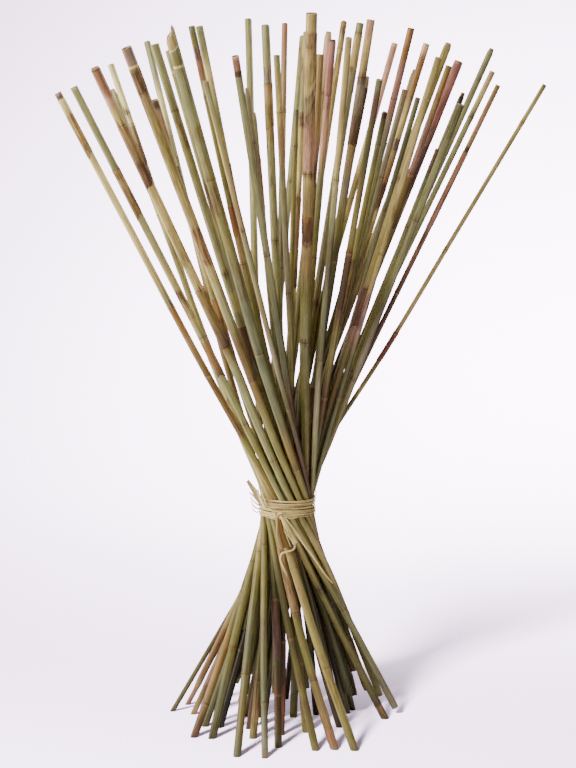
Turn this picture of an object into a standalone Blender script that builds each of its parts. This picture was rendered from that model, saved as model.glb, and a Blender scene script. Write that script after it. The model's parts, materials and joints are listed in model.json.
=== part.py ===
"""A bunch of dried reeds, tied once at the waist with raffia and standing splayed on its cut ends.

Metres, +Z up. The bunch stands on z = 0 and its front faces -Y. The reeds are twisted round the
tie's axis like a sheaf: those in front run down to the right, those at the back run down to the
left, and all of them pass the tie without touching. They are laid out round that axis, and moved
at the end so that the origin is at the bottom centre of their bounding box.
"""

import math
from dataclasses import dataclass

import bmesh
import bpy
import numpy as np
from mathutils import Vector

MM = 0.001

# Driving dimensions of the whole bunch
TIE_HEIGHT = 0.285
TIE_RADIUS = 0.0355
TWIST = 15.0  # sideways run of a reed for each metre of height and each metre off the axis
EYE = Vector((0.0, -2.5, 0.726))  # the point that the tips were sighted from

# Heights at which each reed is held apart from its neighbours, and has a ring of its mesh
LEVELS = np.array([0.0, 0.13, 0.21, 0.262, 0.308, 0.365, 0.47, 0.63, 0.91])
REED_SIDES = 7
SQUEEZE = 0.28  # the share of its width that a stem gives way by in the tie
THIN_BELOW, THICK_ABOVE = 0.15, 0.50  # a reed has its foot's width below, and its tip's width above
CLEARANCE = 0.0007
FOOT_PULL, TIP_PULL = 0.6, 0.6
# Rounds, how strongly each shape of bend_terms is held back, and how far the ends have come
SETTLING = (
    (600, (0.0, 0.0, 0.0009, 0.015, 0.015), 0.0, 1.0),
    (300, (0.0, 0.0, 0.0006, 0.006, 0.006), 1.0, 1.0),
    (300, (0.0, 0.0, 0.0003, 0.0018, 0.0018), 1.0, 1.0),
    (300, (0.0, 0.0, 0.00015, 0.0006, 0.0006), 1.0, 1.0),
)

# Raffia: one flat strand wound round the waist, its knot and the two long ends of the knot
STRAND_WIDTH = 0.0030
STRAND_THICKNESS = 0.0011
STRAND_GAP = 0.0006
TURNS = 5.12
TURN_PITCH = 0.0042
STEPS_PER_TURN = 48
WRAP_TOP = 0.2945
WRAP_START = math.radians(-150)
STUB = ((-50, -15, 318), (-44, -18, 311), (-37.5, -20.5, 303))  # the strand's own end, in mm
KNOT_CENTRE = Vector((-10.0, -40.6, 277.5)) * MM
KNOT_HALF = Vector((6.5, 4.2, 4.8)) * MM
END_WIDTH = 0.0028
# The hand-chosen points of each end, in mm
LONG_END = (
    (-2.6, -41.5, 274), (4, -44, 265), (17, -45, 249), (29, -44, 232), (39, -42, 217), (48, -40, 204),
    (56, -38, 194),
)
LOOPED_END = (
    (-11, -42, 271), (-5, -43.5, 262), (3, -45.5, 253), (8.5, -47, 245), (6.5, -48, 239), (-1, -48, 236.5),
    (-8, -47.5, 233.5), (-9.5, -48, 226), (-5.5, -50, 216), (-1, -52, 206),
)

# Colour and roughness of each kind of stem, and of the raffia
FINISHES = {
    "straw": ("#c3ae7c", 0.52),
    "tan": ("#b1946a", 0.55),
    "amber": ("#a9763a", 0.50),
    "olive": ("#86803f", 0.50),
    "sage": ("#9b9a66", 0.52),
    "moss": ("#57553a", 0.55),
    "brown": ("#6d4b34", 0.58),
    "rust": ("#8a4a2e", 0.55),
    "rose": ("#a97a6a", 0.55),
    "terracotta": ("#b0714a", 0.55),
    "raffia": ("#b48a52", 0.75),
}


@dataclass(frozen=True)
class Reed:
    """One reed, in millimetres.

    The tip is where it is sighted from EYE on the upright plane through the axis. The foot is a
    place on the floor plan, or None for a short reed that ends inside the bunch. A reed whose
    foot_up is 0 stands on the floor.
    """

    finish: str
    tip_across: float
    tip_up: float
    tip_width: float
    foot_across: float | None
    foot_back: float | None
    foot_up: float
    foot_width: float
    waist_across: float | None = None


# From the left tip to the right one
REEDS = (
    Reed("straw", -286, 804, 9, 126, 33, 0, 10, -17),
    Reed("sage", -266, 811, 9.5, 140, 52, 10, 9.5, -8),
    Reed("olive", -240, 835, 12, 121, 76, 20, 9, 8),
    Reed("straw", -219, 838, 9, 57, -102, 0, 11, -26),
    Reed("olive", -217, 808, 8, 82, -106, 0, 11, -17),
    Reed("amber", -200, 859, 12.5, 103, 77, 30, 9, 11),
    Reed("sage", -174, 866, 9, 34, -106, 0, 10, -27),
    Reed("rust", -166, 796, 10, 66, -6, 0, 9.5, -10),
    Reed("olive", -165, 863, 11, 80, 45, 30, 11, 18),
    Reed("moss", -148, 858, 10.5, 85, 50, 60, 9, 10),
    Reed("tan", -147, 881, 13.5, 85, 75, 0, 9, 22),
    Reed("brown", -119, 885, 8, 77, 59, 0, 10),
    Reed("sage", -109, 885, 9, 60, 38, 30, 9, 20),
    Reed("olive", -102, 818, 7, 88, 92, 15, 8),
    Reed("sage", -65, 849, 9, 78, 96, 10, 8.5),
    Reed("moss", -51, 810, 7, None, None, 40, 8, 12),
    Reed("olive", -49, 893, 10, -28, -137, 0, 9),
    Reed("brown", -43, 780, 8, None, None, 50, 8, 0),
    Reed("rose", -28, 887, 11, 23, -28, 0, 10.5),
    Reed("sage", -14, 850, 8, 37, 52, 0, 9),
    Reed("terracotta", -4, 888, 8.5, -12, -93, 0, 10),
    Reed("moss", 10, 783, 7, -8, -41, 0, 8, -2),
    Reed("sage", 18, 873, 9, -62, -131, 0, 10.5),
    Reed("tan", 23, 878, 9.5, None, None, 55, 9, -10),
    Reed("straw", 29, 901, 14, 7, 40, 0, 10.5, 20),
    Reed("olive", 40, 851, 9, None, None, 35, 9.5, 8),
    Reed("rose", 50, 878, 10, -44, -55, 0, 10),
    Reed("sage", 55, 869, 9, -32, 8, 0, 8.5, 4),
    Reed("amber", 69, 891, 9, None, None, 60, 9.5, -18),
    Reed("straw", 75, 871, 8, -3, 129, 0, 8.5),
    Reed("brown", 79, 836, 9, None, None, 45, 9.5, 3),
    Reed("tan", 89, 889, 10, -50, -13, 0, 8.5),
    Reed("olive", 98, 824, 8, None, None, 50, 8.5, -5),
    Reed("rose", 102, 893, 10.5, -39, 40, 0, 9.5),
    Reed("moss", 113, 820, 8, None, None, 35, 8.5, 15),
    Reed("moss", 120, 743, 7.5, None, None, 130, 7.5, -10),
    Reed("moss", 120, 781, 7, None, None, 45, 8, 12),
    Reed("straw", 132, 864, 9, -95, -55, 0, 11),
    Reed("brown", 145, 808, 7.5, None, None, 25, 8, 5),
    Reed("terracotta", 152, 883, 9, -55, 45, 0, 9),
    Reed("olive", 157, 832, 8, -87, -6, 0, 9.5),
    Reed("moss", 161, 798, 7, None, None, 55, 8, 10),
    Reed("olive", 171, 795, 7, None, None, 35, 8, 20),
    Reed("amber", 171, 864, 9, None, None, 45, 9.5, 0),
    Reed("tan", 187, 734, 8.5, None, None, 45, 8.5, 12),
    Reed("rust", 186, 847, 8, -62, 86, 60, 7.5),
    Reed("brown", 199, 837, 8, None, None, 45, 8, 5),
    Reed("olive", 198, 864, 11, -118, -50, 0, 10),
    Reed("rose", 211, 842, 11.5, -106, -2, 0, 9),
    Reed("moss", 214, 790, 9, None, None, 30, 9.5, 15),
    Reed("moss", 217, 804, 7, None, None, 50, 8, 10),
    Reed("sage", 252, 858, 8, -124, 54, 0, 7.5),
    Reed("tan", 253, 830, 7.5, None, None, 40, 8.5, 5),
    Reed("rust", 260, 813, 6.5, -134, 100, 0, 6.5),
    Reed("olive", 318, 814, 6, -152, 68, 0, 6.5),
)


def twisted(waist, height):
    """The point at a height on the straight line of an even twist through a waist point."""
    run = TWIST * (height - TIE_HEIGHT)
    return np.array([waist[0] + run * waist[1], waist[1] - run * waist[0]])


def first_waist(reed):
    """Where a reed would cross the tie in an even twist, from its foot and its tip."""
    fall = TWIST * (TIE_HEIGHT - reed.foot_up * MM)
    rise = TWIST * (reed.tip_up * MM - TIE_HEIGHT)
    rows = [((1.0, rise), reed.tip_across * MM, 0.6)]
    if reed.waist_across is not None:
        rows.append(((1.0, 0.0), reed.waist_across * MM, 4.0))
    if reed.foot_across is not None:
        rows.append(((1.0, -fall), reed.foot_across * MM, 1.0))
        rows.append(((fall, 1.0), reed.foot_back * MM, 1.0))
    matrix = np.array([np.array(row) * weight for row, value, weight in rows])
    values = np.array([value * weight for row, value, weight in rows])
    return np.linalg.lstsq(matrix, values, rcond=None)[0]


def spread_discs(centres, radii, limit):
    """Moves discs apart inside a circle until they no longer overlap."""
    first, second = np.triu_indices(len(centres), 1)
    for _ in range(3000):
        apart = centres[second] - centres[first]
        distance = np.maximum(np.linalg.norm(apart, axis=1), 1e-9)
        overlap = np.maximum(radii[first] + radii[second] - distance, 0)
        push = (0.5 * overlap / distance)[:, None] * apart
        np.add.at(centres, first, -push)
        np.add.at(centres, second, push)
        reach = np.linalg.norm(centres, axis=1)
        over = np.maximum(reach + radii - limit, 0)
        centres -= (over / np.maximum(reach, 1e-9))[:, None] * centres
    return centres


def bend_terms(height):
    """The few shapes that a reed's line is made of: straight, drawn in by the tie, and bowed near it."""
    above = np.asarray(height) - TIE_HEIGHT
    near = np.exp(-((above / 0.1) ** 2))
    drawn_in = np.sqrt(above**2 + 0.08**2)
    return np.stack([np.ones_like(above), above, drawn_in, near, near * above / 0.1], -1)


def closest(a0, a1, b0, b1, part_a, part_b):
    """The shares along two segments where they come closest, and the way from one to the other.

    part_a and part_b are the lowest and highest share that is really there.
    """
    along_a, along_b, offset = a1 - a0, b1 - b0, a0 - b0
    aa, bb = (along_a**2).sum(-1), (along_b**2).sum(-1)
    ab = (along_a * along_b).sum(-1)
    a_off, b_off = (along_a * offset).sum(-1), (along_b * offset).sum(-1)
    spread = aa * bb - ab * ab
    share_a = np.clip((ab * b_off - a_off * bb) / np.maximum(spread, 1e-14), *part_a)
    share_b = np.clip((ab * share_a + b_off) / bb, *part_b)
    share_a = np.clip((ab * share_b - a_off) / aa, *part_a)
    share_b = np.clip((ab * share_a + b_off) / bb, *part_b)
    gap = b0 + share_b[..., None] * along_b - a0 - share_a[..., None] * along_a
    return share_a, share_b, gap


class Bunch:
    """All reeds as points on the common levels, pushed apart and drawn to where they were sighted."""

    def __init__(self, reeds):
        self.reeds = reeds
        self.foot_up = np.array([reed.foot_up for reed in reeds]) * MM
        self.foot_width = np.array([reed.foot_width for reed in reeds]) * MM
        self.tip_width = np.array([reed.tip_width for reed in reeds]) * MM
        waists = np.array([first_waist(reed) for reed in reeds])
        at_tie = self.thickness(slice(None), TIE_HEIGHT)
        waists = spread_discs(waists, at_tie * 1.05 + 0.5 * CLEARANCE, TIE_RADIUS)
        back = np.array([twisted(w, reed.tip_up * MM)[1] for w, reed in zip(waists, reeds)])
        self.sighted_up = np.array([reed.tip_up for reed in reeds]) * MM
        self.tip_up = EYE.z + (self.sighted_up - EYE.z) * (1 + back / -EYE.y)
        self.tip_across = np.array([reed.tip_across for reed in reeds]) * MM
        self.points = np.array([[twisted(w, height) for height in LEVELS] for w in waists])
        self.radii = np.array([self.thickness(slice(None), height) for height in LEVELS]).T
        self.even_feet = np.array([twisted(w, up) for w, up in zip(waists, self.foot_up)])
        self.feet = np.array([
            even if reed.foot_across is None else (reed.foot_across * MM, reed.foot_back * MM)
            for even, reed in zip(self.even_feet, reeds)
        ])
        self.first, self.second = np.triu_indices(len(reeds), 1)
        spans = np.diff(LEVELS)
        self.low_share = np.clip((self.foot_up[:, None] - LEVELS[:-1]) / spans, 0, 1)
        self.high_share = np.clip((self.tip_up[:, None] - LEVELS[:-1]) / spans, 0, 1)

    def thickness(self, i, height):
        """The radius of reed i, or of all with a slice, at this height."""
        share = np.clip((height - THIN_BELOW) / (THICK_ABOVE - THIN_BELOW), 0, 1)
        width = self.foot_width[i] + share * (self.tip_width[i] - self.foot_width[i])
        return 0.5 * width * (1 - SQUEEZE * np.exp(-(((height - TIE_HEIGHT) / 0.06) ** 2)))

    def solvers(self, stiffness):
        """For each reed, the matrix from level points, foot and tip to the terms of its line."""
        terms = bend_terms(LEVELS)
        made = []
        for up, tip in zip(self.foot_up, self.tip_up):
            used = (LEVELS < tip + 0.02) & (LEVELS > up - 0.08)
            rows = np.vstack([terms, bend_terms(np.array([up, tip]))])
            weights = np.concatenate([used, [FOOT_PULL, TIP_PULL]])
            normal = rows.T @ (weights[:, None] * rows) + np.diag(stiffness)
            made.append(np.linalg.solve(normal, rows.T * weights))
        return np.array(made)

    def push(self):
        """Pushes crowded reeds apart once."""
        count = len(LEVELS) - 1
        move = np.zeros_like(self.points)
        times = np.full(self.points.shape[:2], 1e-9)
        heights = np.broadcast_to(LEVELS[:, None], self.points.shape[:2] + (1,))
        places = np.concatenate([self.points, heights], axis=-1)
        a, b = self.first, self.second
        for shift in (-1, 0, 1):
            low = np.array([k for k in range(count) if 0 <= k + shift < count])
            high = low + shift
            part_a = self.low_share[a][:, low], self.high_share[a][:, low]
            part_b = self.low_share[b][:, high], self.high_share[b][:, high]
            share_a, share_b, gap = closest(
                places[a][:, low],
                places[a][:, low + 1],
                places[b][:, high],
                places[b][:, high + 1],
                part_a,
                part_b,
            )
            radius_a = self.radii[a][:, low] * (1 - share_a) + self.radii[a][:, low + 1] * share_a
            radius_b = self.radii[b][:, high] * (1 - share_b) + self.radii[b][:, high + 1] * share_b
            distance = np.linalg.norm(gap, axis=-1)
            there = (part_a[0] < part_a[1]) & (part_b[0] < part_b[1])
            overlap = np.where(there, radius_a + radius_b + CLEARANCE - distance, 0)
            pair, k = np.nonzero(overlap > 0)
            way = gap[pair, k][:, :2]
            size = np.maximum(np.linalg.norm(way, axis=1), 1e-9)
            level_share = np.maximum(size / np.maximum(distance[pair, k], 1e-9), 0.5)
            step = (0.5 * overlap[pair, k] / level_share / size)[:, None] * way
            for reed, level, share, sign in (
                (a[pair], low[k], 1 - share_a[pair, k], -1),
                (a[pair], low[k] + 1, share_a[pair, k], -1),
                (b[pair], high[k], 1 - share_b[pair, k], 1),
                (b[pair], high[k] + 1, share_b[pair, k], 1),
            ):
                np.add.at(move, (reed, level), sign * step * share[:, None])
                np.add.at(times, (reed, level), share)
        self.points += move / np.maximum(times, 1)[..., None]

    def tighten(self):
        """Draws the reeds back inside the tie."""
        for k in np.nonzero(abs(LEVELS - TIE_HEIGHT) < 0.03)[0]:
            reach = np.linalg.norm(self.points[:, k], axis=1)
            over = np.maximum(reach + self.radii[:, k] - TIE_RADIUS - 0.001, 0)
            self.points[:, k] -= (0.8 * over / np.maximum(reach, 1e-9))[:, None] * self.points[:, k]

    def settle(self):
        """Moves the ends to their places by and by while the reeds keep clear of each other."""
        terms = bend_terms(LEVELS)
        at_tip = bend_terms(self.tip_up)
        self.lines = np.array([np.linalg.lstsq(terms, line, rcond=None)[0] for line in self.points])
        for rounds, stiffness, first, last in SETTLING:
            solvers = self.solvers(stiffness)
            for turn in range(rounds):
                progress = first + (last - first) * (turn + 1) / rounds
                self.push()
                self.tighten()
                feet = self.even_feet + progress * (self.feet - self.even_feet)
                tips = np.einsum("nk,nkc->nc", at_tip, self.lines)
                tips[:, 0] += progress * (self.tip_across * (1 + tips[:, 1] / -EYE.y) - tips[:, 0])
                given = np.concatenate([self.points, feet[:, None], tips[:, None]], axis=1)
                self.lines = solvers @ given
                self.points = terms @ self.lines
        self.tip_up = EYE.z + (self.sighted_up - EYE.z) * (1 + tips[:, 1] / -EYE.y)

    def line(self, i, heights):
        """Places on reed i's settled line at these heights."""
        across_back = bend_terms(np.asarray(heights)) @ self.lines[i]
        return np.column_stack([across_back, heights])

    def rings(self, i):
        """The heights of reed i's mesh rings, foot and tip included."""
        foot, tip = self.foot_up[i], self.tip_up[i]
        inside = [height for height in LEVELS if foot + 0.03 < height < tip - 0.05]
        return np.array([foot, *inside, tip])

    def reach(self, angle, height):
        """How far off the axis a tight band round all reeds lies in this direction and height."""
        k = int(np.searchsorted(LEVELS, height)) - 1
        low, high = self.points[:, k], self.points[:, k + 1]
        lean = (high - low) / (LEVELS[k + 1] - LEVELS[k])
        normals = np.linspace(-1.5, 1.5, 61) + angle
        facing = np.stack([np.cos(normals), np.sin(normals)])
        support = np.full(len(normals), -1.0)
        for up in (height - 0.5 * STRAND_WIDTH, height, height + 0.5 * STRAND_WIDTH):
            share = (up - LEVELS[k]) / (LEVELS[k + 1] - LEVELS[k])
            centres = low + share * (high - low)
            radii = self.radii[:, k] + share * (self.radii[:, k + 1] - self.radii[:, k])
            reaches = centres @ facing + radii[:, None] * np.sqrt(1 + (lean @ facing) ** 2)
            support = np.maximum(support, reaches.max(axis=0))
        return float(np.min(support / np.cos(normals - angle)))


def tube_mesh(name, frames, sides):
    """A closed tube through frames of (centre, side vector, front vector), foot first."""
    mesh = bmesh.new()
    bmesh.ops.create_cone(mesh, cap_ends=True, segments=sides, radius1=1, radius2=1, depth=1)
    long_edges = [edge for edge in mesh.edges if abs(edge.verts[0].co.z - edge.verts[1].co.z) > 0.5]
    bmesh.ops.subdivide_edges(mesh, edges=long_edges, cuts=len(frames) - 2, use_grid_fill=False)
    for vertex in mesh.verts:
        ring = round((vertex.co.z + 0.5) * (len(frames) - 1))
        centre, side, front = frames[ring]
        vertex.co = Vector(centre) + vertex.co.x * Vector(side) + vertex.co.y * Vector(front)
    data = bpy.data.meshes.new(name)
    mesh.to_mesh(data)
    mesh.free()
    return data


def directions(centres):
    """The direction of a line at each of its points."""
    ends = [centres[0], *centres, centres[-1]]
    return [(Vector(after) - Vector(before)).normalized() for before, after in zip(ends, ends[2:])]


def reed_frames(centres, radii, level_foot):
    """Rings square to the reed's line. The foot of a reed that stands is cut level instead."""
    frames = []
    for k, (centre, radius, along) in enumerate(zip(centres, radii, directions(centres))):
        side = Vector((0, 1, 0)).cross(along).normalized()
        front = along.cross(side)
        if k == 0 and level_foot:
            side, front = (v - along * (v.z / along.z) for v in (side, front))
        frames.append((centre, radius * side, radius * front))
    return frames


def wrap_centres(bunch):
    """The strand's line: its own short end, then turn under turn round the reeds."""
    centres = [Vector(point) * MM for point in STUB]
    for step in range(round(TURNS * STEPS_PER_TURN) + 1):
        turned = step / STEPS_PER_TURN
        angle = WRAP_START + math.tau * turned
        height = WRAP_TOP - TURN_PITCH * turned
        radius = bunch.reach(angle, height) + STRAND_GAP + 0.5 * STRAND_THICKNESS
        centres.append(Vector((radius * math.cos(angle), radius * math.sin(angle), height)))
    return centres


def wrap_frames(centres):
    """Four-sided rings, flat against the reeds."""
    frames = []
    for centre, along in zip(centres, directions(centres)):
        out = Vector((centre.x, centre.y, 0))
        out = (out - along * out.dot(along)).normalized() * 0.5 * STRAND_THICKNESS
        wide = along.cross(out.normalized()) * 0.5 * STRAND_WIDTH
        frames.append((centre, out - wide, out + wide))
    return frames


def smooth_route(points, step):
    """Evenly spaced points on a smooth curve through the given ones."""
    given = [2 * points[0] - points[1], *points, 2 * points[-1] - points[-2]]
    fine = []
    for before, start, end, after in zip(given, given[1:], given[2:], given[3:]):
        for share in np.linspace(0, 1, 24, endpoint=False):
            fine.append(0.5 * (
                2 * start
                + share * (end - before)
                + share**2 * (2 * before - 5 * start + 4 * end - after)
                + share**3 * (3 * start - before - 3 * end + after)
            ))
    fine = np.array([*fine, points[-1]])
    run = np.concatenate([[0], np.cumsum(np.linalg.norm(np.diff(fine, axis=0), axis=1))])
    places = np.linspace(0, run[-1], round(run[-1] / step) + 1)
    return np.column_stack([np.interp(places, run, fine[:, k]) for k in range(3)])


def linear(channel):
    """A colour channel between 0 and 1 as linear light."""
    return channel / 12.92 if channel <= 0.04045 else ((channel + 0.055) / 1.055) ** 2.4


def make_material(name, colour, roughness):
    material = bpy.data.materials.new(name)
    material.use_nodes = True
    shader = material.node_tree.nodes["Principled BSDF"]
    channels = [linear(int(colour[k : k + 2], 16) / 255) for k in (1, 3, 5)]
    shader.inputs["Base Color"].default_value = (*channels, 1.0)
    shader.inputs["Roughness"].default_value = roughness
    shader.inputs["Metallic"].default_value = 0.0
    material.diffuse_color = (*channels, 1.0)
    return material


def add_object(name, data, material, collection):
    obj = bpy.data.objects.new(name, data)
    data.materials.append(material)
    collection.objects.link(obj)
    return obj


def add_reeds(bunch, materials, collection):
    made = []
    for i, reed in enumerate(REEDS):
        rings = bunch.rings(i)
        radii = [bunch.thickness(i, height) for height in rings]
        frames = reed_frames(bunch.line(i, rings), radii, reed.foot_up == 0)
        name = f"reed_{i + 1:02d}"
        obj = add_object(name, tube_mesh(name, frames, REED_SIDES), materials[reed.finish], collection)
        obj.data.shade_smooth()
        obj.data.set_sharp_from_angle(angle=math.radians(60))
        made.append(obj)
    return made


def add_wrap(bunch, material, collection):
    frames = wrap_frames(wrap_centres(bunch))
    return add_object("raffia_wrap", tube_mesh("raffia_wrap", frames, 4), material, collection)


def add_knot(material, collection):
    mesh = bmesh.new()
    bmesh.ops.create_uvsphere(mesh, u_segments=12, v_segments=7, radius=1)
    bmesh.ops.scale(mesh, vec=KNOT_HALF, verts=mesh.verts)
    bmesh.ops.translate(mesh, vec=KNOT_CENTRE, verts=mesh.verts)
    data = bpy.data.meshes.new("raffia_knot")
    mesh.to_mesh(data)
    mesh.free()
    data.shade_smooth()
    return add_object("raffia_knot", data, material, collection)


def add_end(name, points, material, collection):
    """A free end of the raffia: a tube along its route, with closed ends."""
    route = smooth_route(np.array(points) * MM, 2.2 * END_WIDTH)
    curve = bpy.data.curves.new(name, "CURVE")
    curve.dimensions = "3D"
    spline = curve.splines.new("POLY")
    spline.points.add(len(route) - 1)
    for point, place in zip(spline.points, route):
        point.co = (*place, 1.0)
    curve.bevel_depth = 0.5 * END_WIDTH
    curve.bevel_resolution = 2
    curve.use_fill_caps = True
    return add_object(name, curve, material, collection)


def centre_on_floor(reeds, others):
    """Moves the whole bunch sideways until its box stands on the origin."""
    corners = np.array([vertex.co for obj in reeds for vertex in obj.data.vertices])
    middle = 0.5 * (corners.min(axis=0) + corners.max(axis=0))
    for obj in (*reeds, *others):
        obj.location = (-middle[0], -middle[1], 0.0)


def main():
    for obj in list(bpy.data.objects):
        bpy.data.objects.remove(obj)
    collection = bpy.data.collections.new("bunch_of_reeds")
    bpy.context.scene.collection.children.link(collection)
    materials = {name: make_material(name, *look) for name, look in FINISHES.items()}
    raffia = materials["raffia"]
    bunch = Bunch(REEDS)
    bunch.settle()
    reeds = add_reeds(bunch, materials, collection)
    raffia_pieces = [
        add_wrap(bunch, raffia, collection),
        add_knot(raffia, collection),
        add_end("raffia_end_long", LONG_END, raffia, collection),
        add_end("raffia_end_looped", LOOPED_END, raffia, collection),
    ]
    centre_on_floor(reeds, raffia_pieces)


if __name__ == "__main__":
    main()
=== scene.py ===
"""The looks of a bunch of dried reeds: sheathed stems with cut ends, raffia, a pale studio.

Every stem follows the centre line and thickness of its solid. What lies on it, such as its nodes,
its dry sheaths and its colours, is given by height in millimetres.
"""
import json
import logging
import math
from collections.abc import Callable, Sequence
from dataclasses import dataclass, field
from enum import Enum

import bmesh
import bpy
import numpy as np
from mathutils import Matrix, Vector


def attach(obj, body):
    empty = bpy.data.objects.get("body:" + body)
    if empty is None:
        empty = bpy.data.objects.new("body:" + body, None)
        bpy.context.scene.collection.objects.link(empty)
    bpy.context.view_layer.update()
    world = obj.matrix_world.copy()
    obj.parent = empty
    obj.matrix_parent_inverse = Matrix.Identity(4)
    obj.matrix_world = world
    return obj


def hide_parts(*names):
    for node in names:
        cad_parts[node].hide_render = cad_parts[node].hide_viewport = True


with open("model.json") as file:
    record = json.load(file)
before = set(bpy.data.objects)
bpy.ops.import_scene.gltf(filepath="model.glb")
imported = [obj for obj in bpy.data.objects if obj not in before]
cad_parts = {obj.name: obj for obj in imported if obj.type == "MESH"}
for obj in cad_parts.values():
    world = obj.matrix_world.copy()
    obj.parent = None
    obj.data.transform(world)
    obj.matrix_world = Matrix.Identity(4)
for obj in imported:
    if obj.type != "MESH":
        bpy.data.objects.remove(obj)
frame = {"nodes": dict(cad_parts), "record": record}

log = logging.getLogger("bunch_of_reeds")

Point = tuple[float, float, float]

MM = 0.001
TIE_AXIS = Vector((-0.0173, -0.0288, 0.0))  # where the tie's axis stands on the floor


# Colour


def linear(hex_colour: str) -> Point:
    """Turn an sRGB hex value to linear light.

    Args:
        hex_colour: a value such as "#c3ae7c".

    Returns:
        The three linear channels.
    """
    channels = (int(hex_colour[k : k + 2], 16) / 255 for k in (1, 3, 5))
    return tuple(c / 12.92 if c <= 0.04045 else ((c + 0.055) / 1.055) ** 2.4 for c in channels)


class Tone(Enum):
    """The colours of dried reed, from bleached skin to old sheath."""

    CREAM = "#f3dd8a"
    STRAW = "#c9b068"
    YELLOW = "#ac9850"
    SAGE = "#9c965f"
    OLIVE = "#8c8040"
    GREEN = "#727047"
    MOSS = "#62592b"
    GREY = "#9a8c68"
    TAN = "#a88853"
    AMBER = "#9c7038"
    OCHRE = "#82672e"
    RUST = "#854f30"
    BROWN = "#664528"
    UMBER = "#554026"
    PLUM = "#6e4e42"
    ROSE = "#a87c66"
    SALMON = "#e0aa84"
    CLAY = "#b07c56"
    PINK = "#b27363"
    BLACK = "#332c1a"

    @property
    def light(self) -> np.ndarray:
        """The tone in linear light."""
        return np.array(linear(self.value))


# What a stem wears


@dataclass(frozen=True)
class Sheath:
    """A dry leaf base wrapped round the stem, from its node to its free edge, in mm of height."""

    joint: float
    edge: float
    near: Tone  # its colour at the node
    rim: Tone  # and at its free edge
    slant: float  # how far its edge runs up and down round the stem
    face: float  # the side, in degrees, on which its point lies

    def covers(self, heights: np.ndarray) -> np.ndarray:
        """Which of these heights, in metres, lie under it."""
        low, high = sorted((self.joint * MM, self.edge * MM))
        return (heights >= low) & (heights <= high)


@dataclass(frozen=True)
class Patch:
    """A stain between two heights in mm. Below an amount of 1 it breaks up into flecks."""

    low: float
    high: float
    tone: Tone
    amount: float
    soft: float = 8.0  # how far it fades out past each end

    def strength(self, heights: np.ndarray) -> np.ndarray:
        """How much of it shows.

        Args:
            heights: heights in metres.

        Returns:
            Its amount at each of them.
        """
        below = (heights / MM - self.low + self.soft) / self.soft
        above = (self.high + self.soft - heights / MM) / self.soft
        return self.amount * np.clip(np.minimum(below, above), 0, 1)


@dataclass(frozen=True)
class Dress:
    """What one stem wears: colour stops down its skin, its nodes, sheaths and stains."""

    skin: tuple[tuple[float, Tone], ...]
    nodes: tuple[float, ...] = ()
    sheaths: tuple[Sheath, ...] = ()
    patches: tuple[Patch, ...] = ()
    slant: float = 0.0  # how far the cut of its tip slopes, in mm


def stops(text: str) -> tuple[tuple[float, Tone], ...]:
    """Read colour stops from words such as "rose 828, clay 822 806, straw 778".

    Args:
        text: tones down the stem, each with the heights in mm at which the skin has it.

    Returns:
        Each height with its tone.
    """
    found = []
    for group in text.split(","):
        name, *heights = group.split()
        found += [(float(height), Tone[name.upper()]) for height in heights]
    return tuple(found)


T = Tone  # short, for the table

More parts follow.
